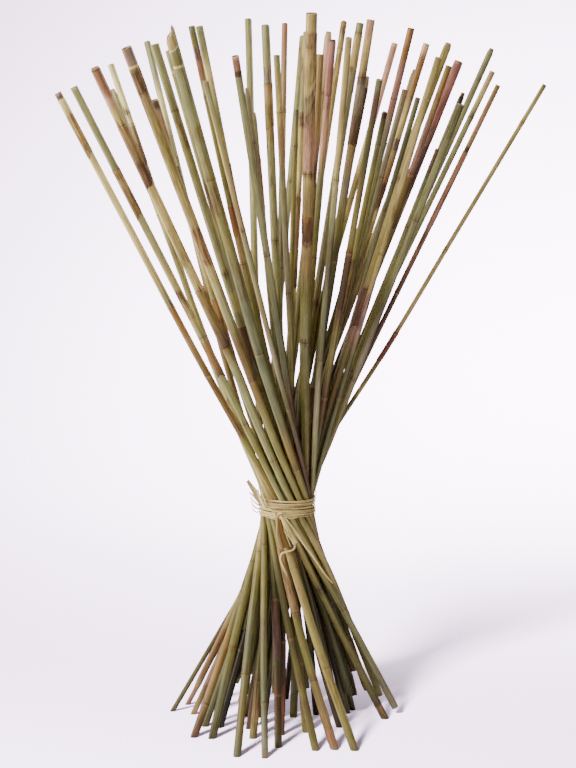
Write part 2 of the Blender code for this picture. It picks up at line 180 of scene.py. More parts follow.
# By the number of each stem's solid, from the left tip to the right one. Each has its colour
# stops, nodes, sheaths and stains, all by height in mm, and then the slope of its tip.
DRESSES: dict[int, Dress] = {
    1: Dress(
        stops("rose 803, plum 797, straw 793 732, cream 700, straw 580, sage 545, tan 500, "
              "ochre 455 400, olive 360, ochre 300, straw 240, olive 180 60, moss 22, tan 18, "
              "brown 0"),
        (540, 455, 180, 20), (Sheath(794, 732, T.CREAM, T.STRAW, 6, 250),),
        (Patch(745, 774, T.AMBER, 0.65), Patch(732, 744, T.BROWN, 0.5),
         Patch(505, 538, T.AMBER, 0.75), Patch(380, 450, T.BROWN, 0.5), Patch(2, 14, T.OCHRE, 0.5)),
    ),
    2: Dress(
        stops("sage 808 712 650, straw 540, sage 500 430, olive 360, sage 300, straw 240, "
              "olive 180, sage 120, grey 10"),
        (710, 505, 395, 150),
        (Sheath(710, 656, T.TAN, T.OCHRE, 5, 200), Sheath(500, 455, T.TAN, T.BROWN, 3, 90)),
        (Patch(700, 709, T.BROWN, 0.42, 4), Patch(655, 685, T.BROWN, 0.42),
         Patch(530, 560, T.BROWN, 0.5), Patch(470, 495, T.AMBER, 0.6)),
    ),
    3: Dress(
        stops("rose 828, clay 822 806, salmon 794, straw 778 690 568, tan 530, ochre 495, "
              "sage 470 400, olive 280, straw 240, olive 120 20"),
        (762, 566, 350, 140),
        (Sheath(760, 690, T.TAN, T.BROWN, 8, 160), Sheath(565, 497, T.TAN, T.UMBER, 4, 210)),
        (Patch(825, 828, T.BROWN, 0.8, 1), Patch(696, 716, T.BROWN, 0.6),
         Patch(735, 758, T.AMBER, 0.45), Patch(796, 820, T.CLAY, 0.6),
         Patch(520, 560, T.OCHRE, 0.6), Patch(600, 640, T.OCHRE, 0.45)),
    ),
    4: Dress(
        stops("cream 845 790 766, straw 700, olive 640, sage 560, straw 380, sage 320, olive 240, "
              "rose 215, grey 162, olive 158 100, tan 42, ochre 20 6, grey 3 0"),
        (783, 766, 470, 160, 80),
        (Sheath(764, 716, T.TAN, T.BROWN, 6, 240), Sheath(160, 236, T.TAN, T.TAN, 5, 250),
         Sheath(46, 5, T.TAN, T.AMBER, 2, 0)),
        (Patch(165, 230, T.BROWN, 0.5), Patch(720, 760, T.UMBER, 0.45),
         Patch(650, 710, T.BROWN, 0.5), Patch(6, 20, T.CLAY, 0.5)),
    ),
    5: Dress(
        stops("sage 812, straw 700 640, olive 600, yellow 420, straw 300, yellow 240 160 60, "
              "olive 0"),
        (650, 420, 215, 96), (), (Patch(60, 110, T.OCHRE, 0.45), Patch(180, 250, T.TAN, 0.45)),
    ),
    6: Dress(
        stops("grey 848 834, rose 829.6, cream 829.2 826.6, tan 826.2 796, yellow 740, straw 600, "
              "sage 540, ochre 500 440, olive 400 300, tan 240, sage 180, moss 130, olive 105, "
              "rose 30"),
        (800, 604, 455, 190, 100),
        (Sheath(826, 801, T.TAN, T.TAN, 2, 180), Sheath(100, 34, T.ROSE, T.GREY, 4, 270)),
        (Patch(835, 848, T.ROSE, 0.5, 4), Patch(803, 822, T.BROWN, 0.55),
         Patch(600, 640, T.RUST, 0.55), Patch(690, 790, T.OCHRE, 0.4), Patch(40, 92, T.RUST, 0.55)),
    ),
    7: Dress(
        stops("sage 877 830, cream 800, sage 740 700 650, tan 600, olive 560, ochre 495 430, "
              "olive 380, straw 320, olive 270, moss 200 120, olive 70 0"),
        (722, 505, 330, 130), (Sheath(560, 500, T.AMBER, T.BROWN, 5, 200),),
        (Patch(840, 877, T.SAGE, 0.6), Patch(505, 550, T.UMBER, 0.55),
         Patch(30, 110, T.BROWN, 0.4)),
    ),
    8: Dress(
        stops("umber 796 786, rose 780, tan 745, straw 700 610, olive 540, ochre 490, sage 440, "
              "olive 400, moss 370 300, tan 250, moss 200, yellow 140, ochre 100, moss 50, "
              "umber 0"),
        (712, 520, 350, 130),
        (Sheath(712, 668, T.BROWN, T.UMBER, 6, 280), Sheath(550, 480, T.AMBER, T.UMBER, 5, 90)),
        (Patch(745, 780, T.AMBER, 0.5), Patch(480, 505, T.PLUM, 0.6), Patch(20, 100, T.UMBER, 0.6)),
    ),
    9: Dress(
        stops("sage 855 810, olive 740, sage 660 540, brown 500, olive 450 400, moss 370, "
              "olive 320 240, moss 190 120, green 60, moss 30"),
        (780, 585, 440, 200), (Sheath(520, 462, T.BROWN, T.GREY, 4, 240),),
        (Patch(735, 775, T.BROWN, 0.4), Patch(540, 560, T.STRAW, 0.6),
         Patch(470, 510, T.BROWN, 0.5)),
    ),
    10: Dress(
        stops("sage 852 829, cream 826 822, sage 820 700, olive 650, green 600, moss 540, "
              "brown 500, green 440, moss 380, green 320, olive 240, green 180, moss 110, "
              "brown 60"),
        (823, 553, 330, 160),
        (Sheath(553, 452, T.OCHRE, T.BROWN, 7, 200), Sheath(100, 66, T.BROWN, T.UMBER, 2, 0)),
        (Patch(655, 690, T.BROWN, 0.7, 14), Patch(470, 530, T.UMBER, 0.5, 14),
         Patch(760, 790, T.STRAW, 0.5)), 2.0,
    ),
    11: Dress(
        stops("straw 867 849, cream 848.5 847, sage 846.5, olive 829.5, cream 829 826.5, "
              "sage 826 790 740, olive 700 620, green 560 420, ochre 360, olive 310, straw 250, "
              "olive 190, green 120 60, moss 0"),
        (700, 490, 340, 120), (),
        (Patch(720, 760, T.OCHRE, 0.4), Patch(560, 600, T.BROWN, 0.4),
         Patch(660, 690, T.BROWN, 0.45)), 8.0,
    ),
    12: Dress(
        stops("green 874, olive 853, rose 845, clay 822, straw 803, olive 795 668, tan 640 600, "
              "olive 550 490, green 430, ochre 370, moss 310, olive 240, moss 190, umber 120 60, "
              "green 0"),
        (795, 598, 390, 180), (Sheath(668, 636, T.RUST, T.AMBER, 5, 240),),
        (Patch(838, 850, T.PLUM, 0.6, 5), Patch(800, 830, T.CLAY, 0.5),
         Patch(670, 700, T.UMBER, 0.5)),
    ),
    13: Dress(
        stops("sage 878 850, cream 820, sage 770, straw 722, ochre 660, sage 600, olive 540 420, "
              "umber 370, moss 330, straw 250, umber 200 110, olive 70 30"),
        (716, 480, 330, 150), (Sheath(716, 668, T.UMBER, T.AMBER, 6, 200),),
        (Patch(695, 714, T.UMBER, 0.8), Patch(640, 672, T.AMBER, 0.6), Patch(30, 90, T.UMBER, 0.5)),
    ),
    14: Dress(
        stops("sage 809, straw 720, tan 660, sage 600, olive 540, grey 480, moss 430, umber 370, "
              "brown 310, olive 240, green 180 80, moss 40, brown 15"),
        (640, 420, 200), (Sheath(45, 18, T.BROWN, T.UMBER, 2, 90),), (Patch(530, 590, T.TAN, 0.4),),
    ),
    15: Dress(
        stops("salmon 838, clay 834 824, umber 821 818, sage 815 600, green 540 470, brown 430, "
              "umber 370, olive 300, moss 190, brown 60, umber 10"),
        (610, 400, 190), (), (Patch(817, 822, T.BROWN, 0.6, 2), Patch(20, 70, T.UMBER, 0.55)),
    ),
    16: Dress(
        stops("grey 809 540, green 490, olive 430, sage 370, moss 310, tan 240, moss 190 120, "
              "olive 60 40"),
        (742, 520, 310), (), (Patch(560, 640, T.MOSS, 0.45),),
    ),
    17: Dress(
        stops("sage 913 650, olive 600, green 540 360, yellow 300, olive 250 180, green 60, "
              "grey 0"),
        (735, 500, 240, 60), (), (Patch(845, 880, T.YELLOW, 0.4), Patch(130, 165, T.PLUM, 0.4)),
    ),
    18: Dress(
        stops("sage 780 740, rose 722 662, olive 600, green 490, olive 430 300, tan 240, "
              "brown 180 110, moss 50"),
        (726, 662, 430, 210), (Sheath(662, 728, T.ROSE, T.BROWN, 5, 200),),
        (Patch(680, 715, T.AMBER, 0.6), Patch(716, 740, T.GREY, 0.5)),
    ),
    19: Dress(
        stops("sage 891 838, grey 832 816, tan 770, sage 745 560, olive 500 450, moss 420 300, "
              "ochre 240, umber 190, moss 130 60, yellow 0"),
        (816, 620, 415, 205, 90), (Sheath(816, 762, T.TAN, T.OLIVE, 4, 180),),
        (Patch(822, 836, T.PLUM, 0.5), Patch(745, 790, T.OCHRE, 0.6),
         Patch(690, 740, T.UMBER, 0.35)),
    ),
    20: Dress(
        stops("sage 844, straw 785, tan 740, sage 700, grey 600, olive 450, umber 430, sage 380, "
              "olive 300, ochre 240, moss 190 110, green 60, black 20 0"),
        (778, 560, 350, 140), (), (Patch(10, 90, T.BLACK, 0.6), Patch(720, 760, T.ROSE, 0.4)),
    ),
    21: Dress(
        stops("clay 901 880, tan 850 790 740, olive 690, moss 640, green 540, olive 490, "
              "moss 430 370, yellow 300, olive 230, moss 190 100, brown 60, moss 0"),
        (785, 580, 360, 175, 62), (Sheath(175, 100, T.BROWN, T.PLUM, 3, 90),),
        (Patch(795, 820, T.ROSE, 0.5), Patch(690, 720, T.AMBER, 0.4), Patch(110, 165, T.PLUM, 0.4)),
    ),
    22: Dress(
        stops("green 784, olive 738 600, ochre 420, sage 370, ochre 250, umber 120, grey 70, "
              "plum 30 0"),
        (738, 520, 300, 118), (Sheath(118, 30, T.BROWN, T.PLUM, 3, 270),),
        (Patch(0, 60, T.RUST, 0.5),),
    ),
    23: Dress(
        stops("straw 890, sage 800 600, moss 550, green 480, olive 420, moss 370, ochre 300, "
              "straw 250, olive 190, green 130, olive 60, green 12 0"),
        (690, 470, 230, 90), (), (Patch(830, 880, T.MOSS, 0.35), Patch(10, 70, T.OCHRE, 0.5)),
    ),
    24: Dress(
        stops("sage 885, straw 860, sage 790, straw 764, cream 700, tan 672 600, cream 552, "
              "sage 540, moss 430, olive 300, sage 240, olive 160, moss 110, brown 55"),
        (774, 672, 470, 260),
        (Sheath(672, 606, T.TAN, T.ROSE, 3, 200), Sheath(604, 556, T.TAN, T.BROWN, 4, 160)),
        (Patch(835, 850, T.BROWN, 0.4), Patch(764, 780, T.BROWN, 0.6),
         Patch(558, 580, T.UMBER, 0.6)),
    ),
    25: Dress(
        stops("straw 891 872, tan 868, straw 850 800, tan 786, salmon 712, straw 706, "
              "tan 660 625 600, olive 560, sage 500, olive 440 370, brown 310, olive 250, "
              "brown 120, moss 60, olive 0"),
        (706, 500, 340, 140),
        (Sheath(868, 792, T.TAN, T.STRAW, 14, 230), Sheath(656, 634, T.AMBER, T.BROWN, 10, 300)),
        (Patch(852, 868, T.BROWN, 0.4, 4), Patch(815, 832, T.OCHRE, 0.4),
         Patch(793, 804, T.PLUM, 0.5, 6), Patch(712, 780, T.PINK, 0.45),
         Patch(765, 788, T.PLUM, 0.5), Patch(625, 650, T.BROWN, 0.6)),
    ),
    26: Dress(
        stops("tan 848 760, rose 720, tan 680, olive 640, tan 600, straw 540, olive 440, "
              "green 420, brown 370, olive 300, moss 120 60, green 35"),
        (690, 480, 260), (), (Patch(640, 720, T.BROWN, 0.5), Patch(460, 500, T.GREY, 0.5)),
    ),
    27: Dress(
        stops("cream 887, salmon 868 845, straw 810 760, rose 720, tan 680, grey 600, "
              "sage 550 480, brown 430, green 370, olive 250, green 180, moss 120, olive 60, "
              "tan 30, olive 0"),
        (806, 590, 380, 190, 70), (), (Patch(850, 880, T.SALMON, 0.5), Patch(15, 60, T.BROWN, 0.4)),
    ),
    28: Dress(
        stops("brown 869, rose 862 790, salmon 740, sage 700, olive 600 540, sage 480, green 420, "
              "umber 370, olive 300, umber 120, moss 60, umber 0"),
        (790, 600, 430, 210), (Sheath(866, 800, T.ROSE, T.PLUM, 3, 180),),
        (Patch(790, 856, T.PINK, 0.6), Patch(0, 70, T.BLACK, 0.6)),
    ),
    29: Dress(
        stops("brown 906, tan 902, straw 880 860, yellow 800, straw 740, sage 680, olive 620, "
              "sage 550 480, green 430, olive 300, sage 240, moss 180 60"),
        (868, 660, 450, 240), (Sheath(478, 420, T.BROWN, T.UMBER, 5, 230),),
        (Patch(870, 896, T.BROWN, 0.45), Patch(820, 860, T.AMBER, 0.5),
         Patch(430, 470, T.RUST, 0.5)),
    ),
    30: Dress(
        stops("straw 857 780 720, sage 660, moss 610, green 550, moss 490, grey 430, sage 360, "
              "olive 260, moss 60 0"),
        (700, 480, 270, 120), (), (Patch(0, 100, T.BLACK, 0.6), Patch(560, 640, T.UMBER, 0.4)),
    ),
    31: Dress(
        stops("grey 837, sage 780 700, grey 600, olive 540 430, moss 370, olive 300, green 110, "
              "moss 60, brown 45"),
        (745, 540, 330), (), (Patch(440, 480, T.UMBER, 0.5),),
    ),
    32: Dress(
        stops("sage 893 882, straw 876, tan 850 825, grey 812 700, brown 680, grey 640, sage 600, "
              "olive 540 480, moss 420, umber 370, olive 300, sage 120, brown 80 0"),
        (880, 690, 560, 300, 110), (Sheath(878, 806, T.STRAW, T.BROWN, 7, 250),),
        (Patch(640, 695, T.BROWN, 0.75), Patch(808, 830, T.BROWN, 0.5),
         Patch(490, 556, T.BROWN, 0.6)),
    ),
    33: Dress(
        stops("olive 827, grey 815 740, sage 660, moss 610, olive 550, ochre 480, moss 430, "
              "olive 300, sage 180, moss 120, green 50"),
        (640, 420, 220), (Sheath(812, 738, T.BROWN, T.UMBER, 6, 220),),
        (Patch(740, 765, T.UMBER, 0.55),),
    ),
    34: Dress(
        stops("salmon 887, straw 850, tan 823 735, grey 690, olive 650, moss 610 480, green 430, "
              "moss 370, olive 300, moss 100 40, brown 0"),
        (820, 600, 400, 200),
        (Sheath(820, 745, T.GREY, T.BROWN, 8, 230), Sheath(440, 385, T.BROWN, T.PLUM, 4, 250)),
        (Patch(870, 887, T.CLAY, 0.4), Patch(812, 820, T.PLUM, 0.6, 3),
         Patch(748, 775, T.BROWN, 0.5), Patch(0, 80, T.UMBER, 0.5)),
    ),
    35: Dress(
        stops("green 814 802, brown 790, moss 760 700, olive 640, ochre 605, brown 550, "
              "olive 490, brown 430, moss 370, sage 300, brown 120, umber 35"),
        (612, 430, 240), (Sheath(612, 548, T.BROWN, T.UMBER, 6, 260),),
        (Patch(770, 800, T.PLUM, 0.5), Patch(640, 700, T.OCHRE, 0.4),
         Patch(555, 600, T.UMBER, 0.6)),
    ),
    36: Dress(
        stops("olive 744 660, green 600, brown 550, green 490 420, moss 130"),
        (610, 400), (), (Patch(560, 620, T.PLUM, 0.4),),
    ),
    37: Dress(
        stops("black 779, umber 772, moss 766, green 745, olive 700 600, tan 550, sage 490, "
              "brown 430, moss 370, olive 300, umber 45"),
        (740, 520, 290), (), (Patch(772, 779, T.BLACK, 0.7, 4), Patch(520, 600, T.BROWN, 0.6)),
    ),
    38: Dress(
        stops("cream 875, salmon 868 780, cream 740, straw 700 650, olive 600, moss 550, "
              "ochre 490, moss 430, olive 300 180 100, green 60, moss 0"),
        (758, 560, 380, 215, 110), (),
        (Patch(845, 868, T.PINK, 0.45), Patch(640, 700, T.UMBER, 0.35),
         Patch(540, 580, T.UMBER, 0.5)),
    ),
    39: Dress(
        stops("tan 808, grey 780 700, sage 620, olive 560, moss 530 440, sage 360, olive 300, "
              "moss 60, olive 25"),
        (700, 480, 280), (), (Patch(790, 808, T.PLUM, 0.35), Patch(560, 600, T.UMBER, 0.5)),
    ),
    40: Dress(
        stops("brown 880, clay 876 850, rose 826 790, grey 750, sage 700, olive 600, tan 540, "
              "olive 480, umber 430, moss 370, olive 300, brown 90, moss 0"),
        (795, 590, 380, 190, 60), (),
        (Patch(842, 878, T.AMBER, 0.55), Patch(780, 836, T.PINK, 0.5, 14),
         Patch(400, 440, T.UMBER, 0.6)),
    ),
    41: Dress(
        stops("olive 836, tan 780, olive 740, grey 660, sage 600, tan 550, umber 490, brown 420, "
              "olive 300, sage 180, umber 130, black 60 0"),
        (640, 430, 230, 100), (), (Patch(0, 150, T.BLACK, 0.5), Patch(520, 600, T.UMBER, 0.5)),
    ),
    42: Dress(
        stops("green 796 700, grey 480, umber 430, sage 370, olive 300, green 55"),
        (660, 440, 240),
    ),
    43: Dress(
        stops("yellow 790, straw 700, yellow 650 600, tan 560, rose 520, moss 480 420, green 370, "
              "olive 300, green 35"),
        (610, 430, 230), (), (Patch(520, 560, T.PLUM, 0.6), Patch(620, 680, T.OCHRE, 0.4)),
    ),
    44: Dress(
        stops("cream 866, salmon 856, amber 846, tan 800, straw 770 742, tan 690, rust 668, "
              "straw 655, tan 600, green 550, moss 480, olive 300, umber 120 45"),
        (740, 686, 520, 320), (Sheath(738, 672, T.TAN, T.RUST, 4, 240),),
        (Patch(800, 846, T.AMBER, 0.6), Patch(734, 746, T.PLUM, 0.7, 4),
         Patch(662, 690, T.BROWN, 0.7), Patch(600, 640, T.AMBER, 0.4)),
    ),
    45: Dress(
        stops("brown 734, green 700, sage 620, olive 540 480, grey 420, moss 370, olive 300, "
              "sage 60, olive 45"),
        (640, 460, 280), (), (Patch(700, 734, T.UMBER, 0.55), Patch(40, 120, T.BLACK, 0.6)),
    ),
    46: Dress(
        stops("yellow 840, straw 760 660, yellow 620 575, rose 560 520, olive 480, ochre 420, "
              "moss 370, olive 300, brown 60"),
        (700, 566, 360), (Sheath(566, 520, T.PLUM, T.BROWN, 4, 200),),
        (Patch(525, 560, T.RUST, 0.4),),
    ),
    47: Dress(
        stops("olive 836, amber 815, tan 780, rose 760 700, tan 660, ochre 610, tan 540, "
              "yellow 480, olive 420, sage 360, olive 300, moss 110 45"),
        (705, 500, 300), (Sheath(700, 640, T.OCHRE, T.BROWN, 4, 230),),
        (Patch(740, 800, T.BROWN, 0.4), Patch(560, 610, T.BROWN, 0.55)),
    ),
    48: Dress(
        stops("straw 874, yellow 866 800, straw 740, sage 600, tan 540, moss 490, "
              "olive 400 250 120, tan 60, brown 0"),
        (720, 520, 330, 175, 40), (Sheath(180, 230, T.BROWN, T.STRAW, 7, 200),),
        (Patch(800, 868, T.OLIVE, 0.45), Patch(60, 130, T.AMBER, 0.5), Patch(0, 40, T.BROWN, 0.5)),
    ),
    49: Dress(
        stops("salmon 847, rose 838 760, plum 720 700, grey 640, ochre 600, plum 560, brown 530, "
              "moss 400, olive 300, moss 180, green 120 60, moss 0"),
        (845, 690, 566, 380, 200),
        (Sheath(842, 742, T.ROSE, T.ROSE, 5, 220), Sheath(566, 528, T.PLUM, T.PLUM, 4, 180)),
        (Patch(770, 840, T.PINK, 0.85, 14), Patch(735, 765, T.PLUM, 0.5),
         Patch(684, 698, T.PLUM, 0.7), Patch(585, 620, T.UMBER, 0.45)),
    ),
    50: Dress(
        stops("green 787 775, sage 730 600, moss 545, grey 480, olive 400 30"),
        (650, 450, 260), (), (Patch(750, 780, T.MOSS, 0.45),),
    ),
    51: Dress(
        stops("black 803 792, grey 780, olive 720, sage 660 600, green 540 480, moss 420 350, "
              "olive 300, green 50"),
        (690, 470, 270), (), (Patch(790, 803, T.BLACK, 0.9, 3), Patch(500, 600, T.MOSS, 0.4)),
    ),
    52: Dress(
        stops("sage 858 800 560, moss 490, olive 430, sage 300, olive 220 100, ochre 50, tan 0"),
        (690, 480, 290, 130), (Sheath(130, 40, T.TAN, T.ROSE, 3, 180),),
        (Patch(820, 858, T.GREEN, 0.5),),
    ),
    53: Dress(
        stops("salmon 832, straw 800, sage 780 600, ochre 550, olive 500, straw 300 180, tan 120, "
              "olive 70, rose 40"),
        (775, 560, 330, 175), (Sheath(176, 240, T.BROWN, T.TAN, 9, 180),),
        (Patch(800, 832, T.STRAW, 0.5), Patch(60, 120, T.RUST, 0.5)),
    ),
    54: Dress(
        stops("olive 810, tan 800, clay 770, tan 745 739, umber 736 732, clay 728 640, "
              "brown 560 450, olive 300, tan 120 60, rose 0"),
        (560, 400, 190), (Sheath(731, 640, T.CLAY, T.ROSE, 4, 220),),
        (Patch(645, 690, T.RUST, 0.45), Patch(560, 640, T.UMBER, 0.45),
         Patch(780, 806, T.OCHRE, 0.4)),
    ),
    55: Dress(
        stops("olive 813, yellow 800, straw 768, yellow 750, straw 600 520, brown 490, "
              "yellow 430, umber 360, olive 300, moss 80, black 0"),
        (768, 610, 505, 330, 150), (Sheath(505, 470, T.RUST, T.BROWN, 3, 200),),
        (Patch(475, 500, T.RUST, 0.7), Patch(340, 420, T.UMBER, 0.5), Patch(0, 80, T.MOSS, 0.6)),
    ),
}


# Stems


@dataclass
class StemLine:
    """A stem's centre line and radius by height, read from its solid."""

    heights: np.ndarray
    centres: np.ndarray
    radii: np.ndarray

    @classmethod
    def of_node(cls, node: bpy.types.Object, ring_gap: float = 12 * MM) -> "StemLine":
        """Read the rings of a CAD node.

        Args:
            node: the stem's solid.
            ring_gap: less than the height between any two of its rings.

        Returns:
            The line through the rings' centres.
        """
        corners = np.empty(len(node.data.vertices) * 3)
        node.data.vertices.foreach_get("co", corners)
        corners = np.unique(corners.reshape(-1, 3).round(6), axis=0)
        corners = corners[np.argsort(corners[:, 2])]
        cuts = np.nonzero(np.diff(corners[:, 2]) > ring_gap)[0] + 1
        rings = np.split(corners, cuts)
        centres = np.array([ring.mean(axis=0) for ring in rings])
        radii = np.array([
            np.linalg.norm(ring - centre, axis=1).min() for ring, centre in zip(rings, centres)
        ])
        return cls(centres[:, 2], centres, radii)

    def at(self, heights: np.ndarray) -> np.ndarray:
        """Places on a smooth curve through the rings' centres.

        Args:
            heights: heights in metres, of any shape.

        Returns:
            An array of the same shape with a last axis of 3.
        """
        known, places = self.heights, self.centres
        slopes = np.gradient(places, known, axis=0)
        k = np.clip(np.searchsorted(known, heights) - 1, 0, len(known) - 2)
        span = known[k + 1] - known[k]
        t = ((heights - known[k]) / span)[..., None]
        span = span[..., None]
        return (
            (2 * t**3 - 3 * t**2 + 1) * places[k]
            + (t**3 - 2 * t**2 + t) * span * slopes[k]
            + (3 * t**2 - 2 * t**3) * places[k + 1]
            + (t**3 - t**2) * span * slopes[k + 1]
        )

    def direction(self, heights: np.ndarray) -> np.ndarray:
        """Unit vectors up the stem at these heights."""
        along = self.at(heights + 2 * MM) - self.at(heights - 2 * MM)
        return along / np.linalg.norm(along, axis=-1, keepdims=True)

    def radius(self, heights: np.ndarray) -> np.ndarray:
        """The stem's radius at these heights."""
        return np.interp(heights, self.heights, self.radii)


def tube_grid(name: str, rings: int, sides: int) -> tuple[bpy.types.Mesh, np.ndarray, np.ndarray]:
    """Make a closed tube's mesh with unplaced rings, from a subdivided cone primitive.

    Args:
        name: the mesh's name.
        rings: how many rings it has, its two ends included.
        sides: how many sides it has.

    Returns:
        The mesh, and for each vertex its ring and its side.
    """
    mesh = bmesh.new()
    bmesh.ops.create_cone(mesh, cap_ends=True, segments=sides, radius1=1, radius2=1, depth=1)
    long_edges = [edge for edge in mesh.edges if abs(edge.verts[0].co.z - edge.verts[1].co.z) > 0.5]
    bmesh.ops.subdivide_edges(mesh, edges=long_edges, cuts=rings - 2, use_grid_fill=False)
    data = bpy.data.meshes.new(name)
    mesh.to_mesh(data)
    mesh.free()
    places = np.empty(len(data.vertices) * 3)
    data.vertices.foreach_get("co", places)
    places = places.reshape(-1, 3)
    ring = np.rint((places[:, 2] + 0.5) * (rings - 1)).astype(int)
    turn = np.arctan2(places[:, 1], places[:, 0]) / math.tau * sides
    side = np.rint(turn).astype(int) % sides
    return data, ring, side


def wrap_uv(
    data: bpy.types.Mesh, side: np.ndarray, sides: int, girth: float, up: np.ndarray
) -> None:
    """Lay the tube's skin out flat: across in metres of girth, up in metres.

    Args:
        data: the tube's mesh.
        side: each vertex's side.
        sides: how many sides the tube has.
        girth: the tube's girth in metres.
        up: each vertex's place along the tube in metres.
    """
    corner_vertex = np.empty(len(data.loops), dtype=int)
    data.loops.foreach_get("vertex_index", corner_vertex)
    starts = np.empty(len(data.polygons), dtype=int)
    totals = np.empty(len(data.polygons), dtype=int)
    data.polygons.foreach_get("loop_start", starts)
    data.polygons.foreach_get("loop_total", totals)
    corner_face = np.repeat(np.arange(len(starts)), totals)
    across = side[corner_vertex].astype(float)
    face_most = np.zeros(len(starts))
    np.maximum.at(face_most, corner_face, across)
    at_seam = (face_most[corner_face] == sides - 1) & (across == 0) & (totals[corner_face] == 4)
    across[at_seam] = sides
    uv = np.column_stack([across / sides * girth, up[corner_vertex]])
    layer = data.uv_layers.new(name="Skin")
    layer.data.foreach_set("uv", uv.ravel().astype(np.float32))


def finished(name: str, data: bpy.types.Mesh, material: bpy.types.Material) -> bpy.types.Object:
    """Make a smooth object of a mesh, at the origin.

    Args:
        name: the object's name.
        data: its mesh.
        material: what it is made of.

    Returns:
        The object.
    """
    data.shade_smooth()
    data.materials.append(material)
    piece = bpy.data.objects.new(name, data)
    bpy.context.scene.collection.objects.link(piece)
    return piece


def declare(piece: bpy.types.Object, node: str, slot: str) -> None:
    """Attach a piece to the root body, hide the CAD node that it replaces, and report it.

    Args:
        piece: the finished object.
        node: the CAD node that it replaces.
        slot: its material slot; not used.
    """
    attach(piece, "root")
    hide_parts(node)
    log.info("%s: %d faces", node, len(piece.data.polygons))


@dataclass(frozen=True)
class Bell:
    """A smooth bump or band across the stem near a node: its height, and its width in mm."""

    height: float
    width: float
    place: float  # how far above the node it lies, in mm

    def at(self, off: np.ndarray) -> np.ndarray:
        """Its value at these distances above the node in mm."""
        return self.height * np.exp(-(((off - self.place) / self.width) ** 2))


# Where rings lie close together, in mm from a node, a sheath's edge and its joint
NODE_RINGS = (-5, -3, -1.8, -1, -0.5, 0, 0.5, 1.2, 2.5, 5)
EDGE_RINGS = (-9, -5, -2.5, -1, -0.15, 0.15, 1, 2.5, 5, 9)
JOINT_RINGS = (-2, -0.8, -0.1, 0.1, 0.8, 2)


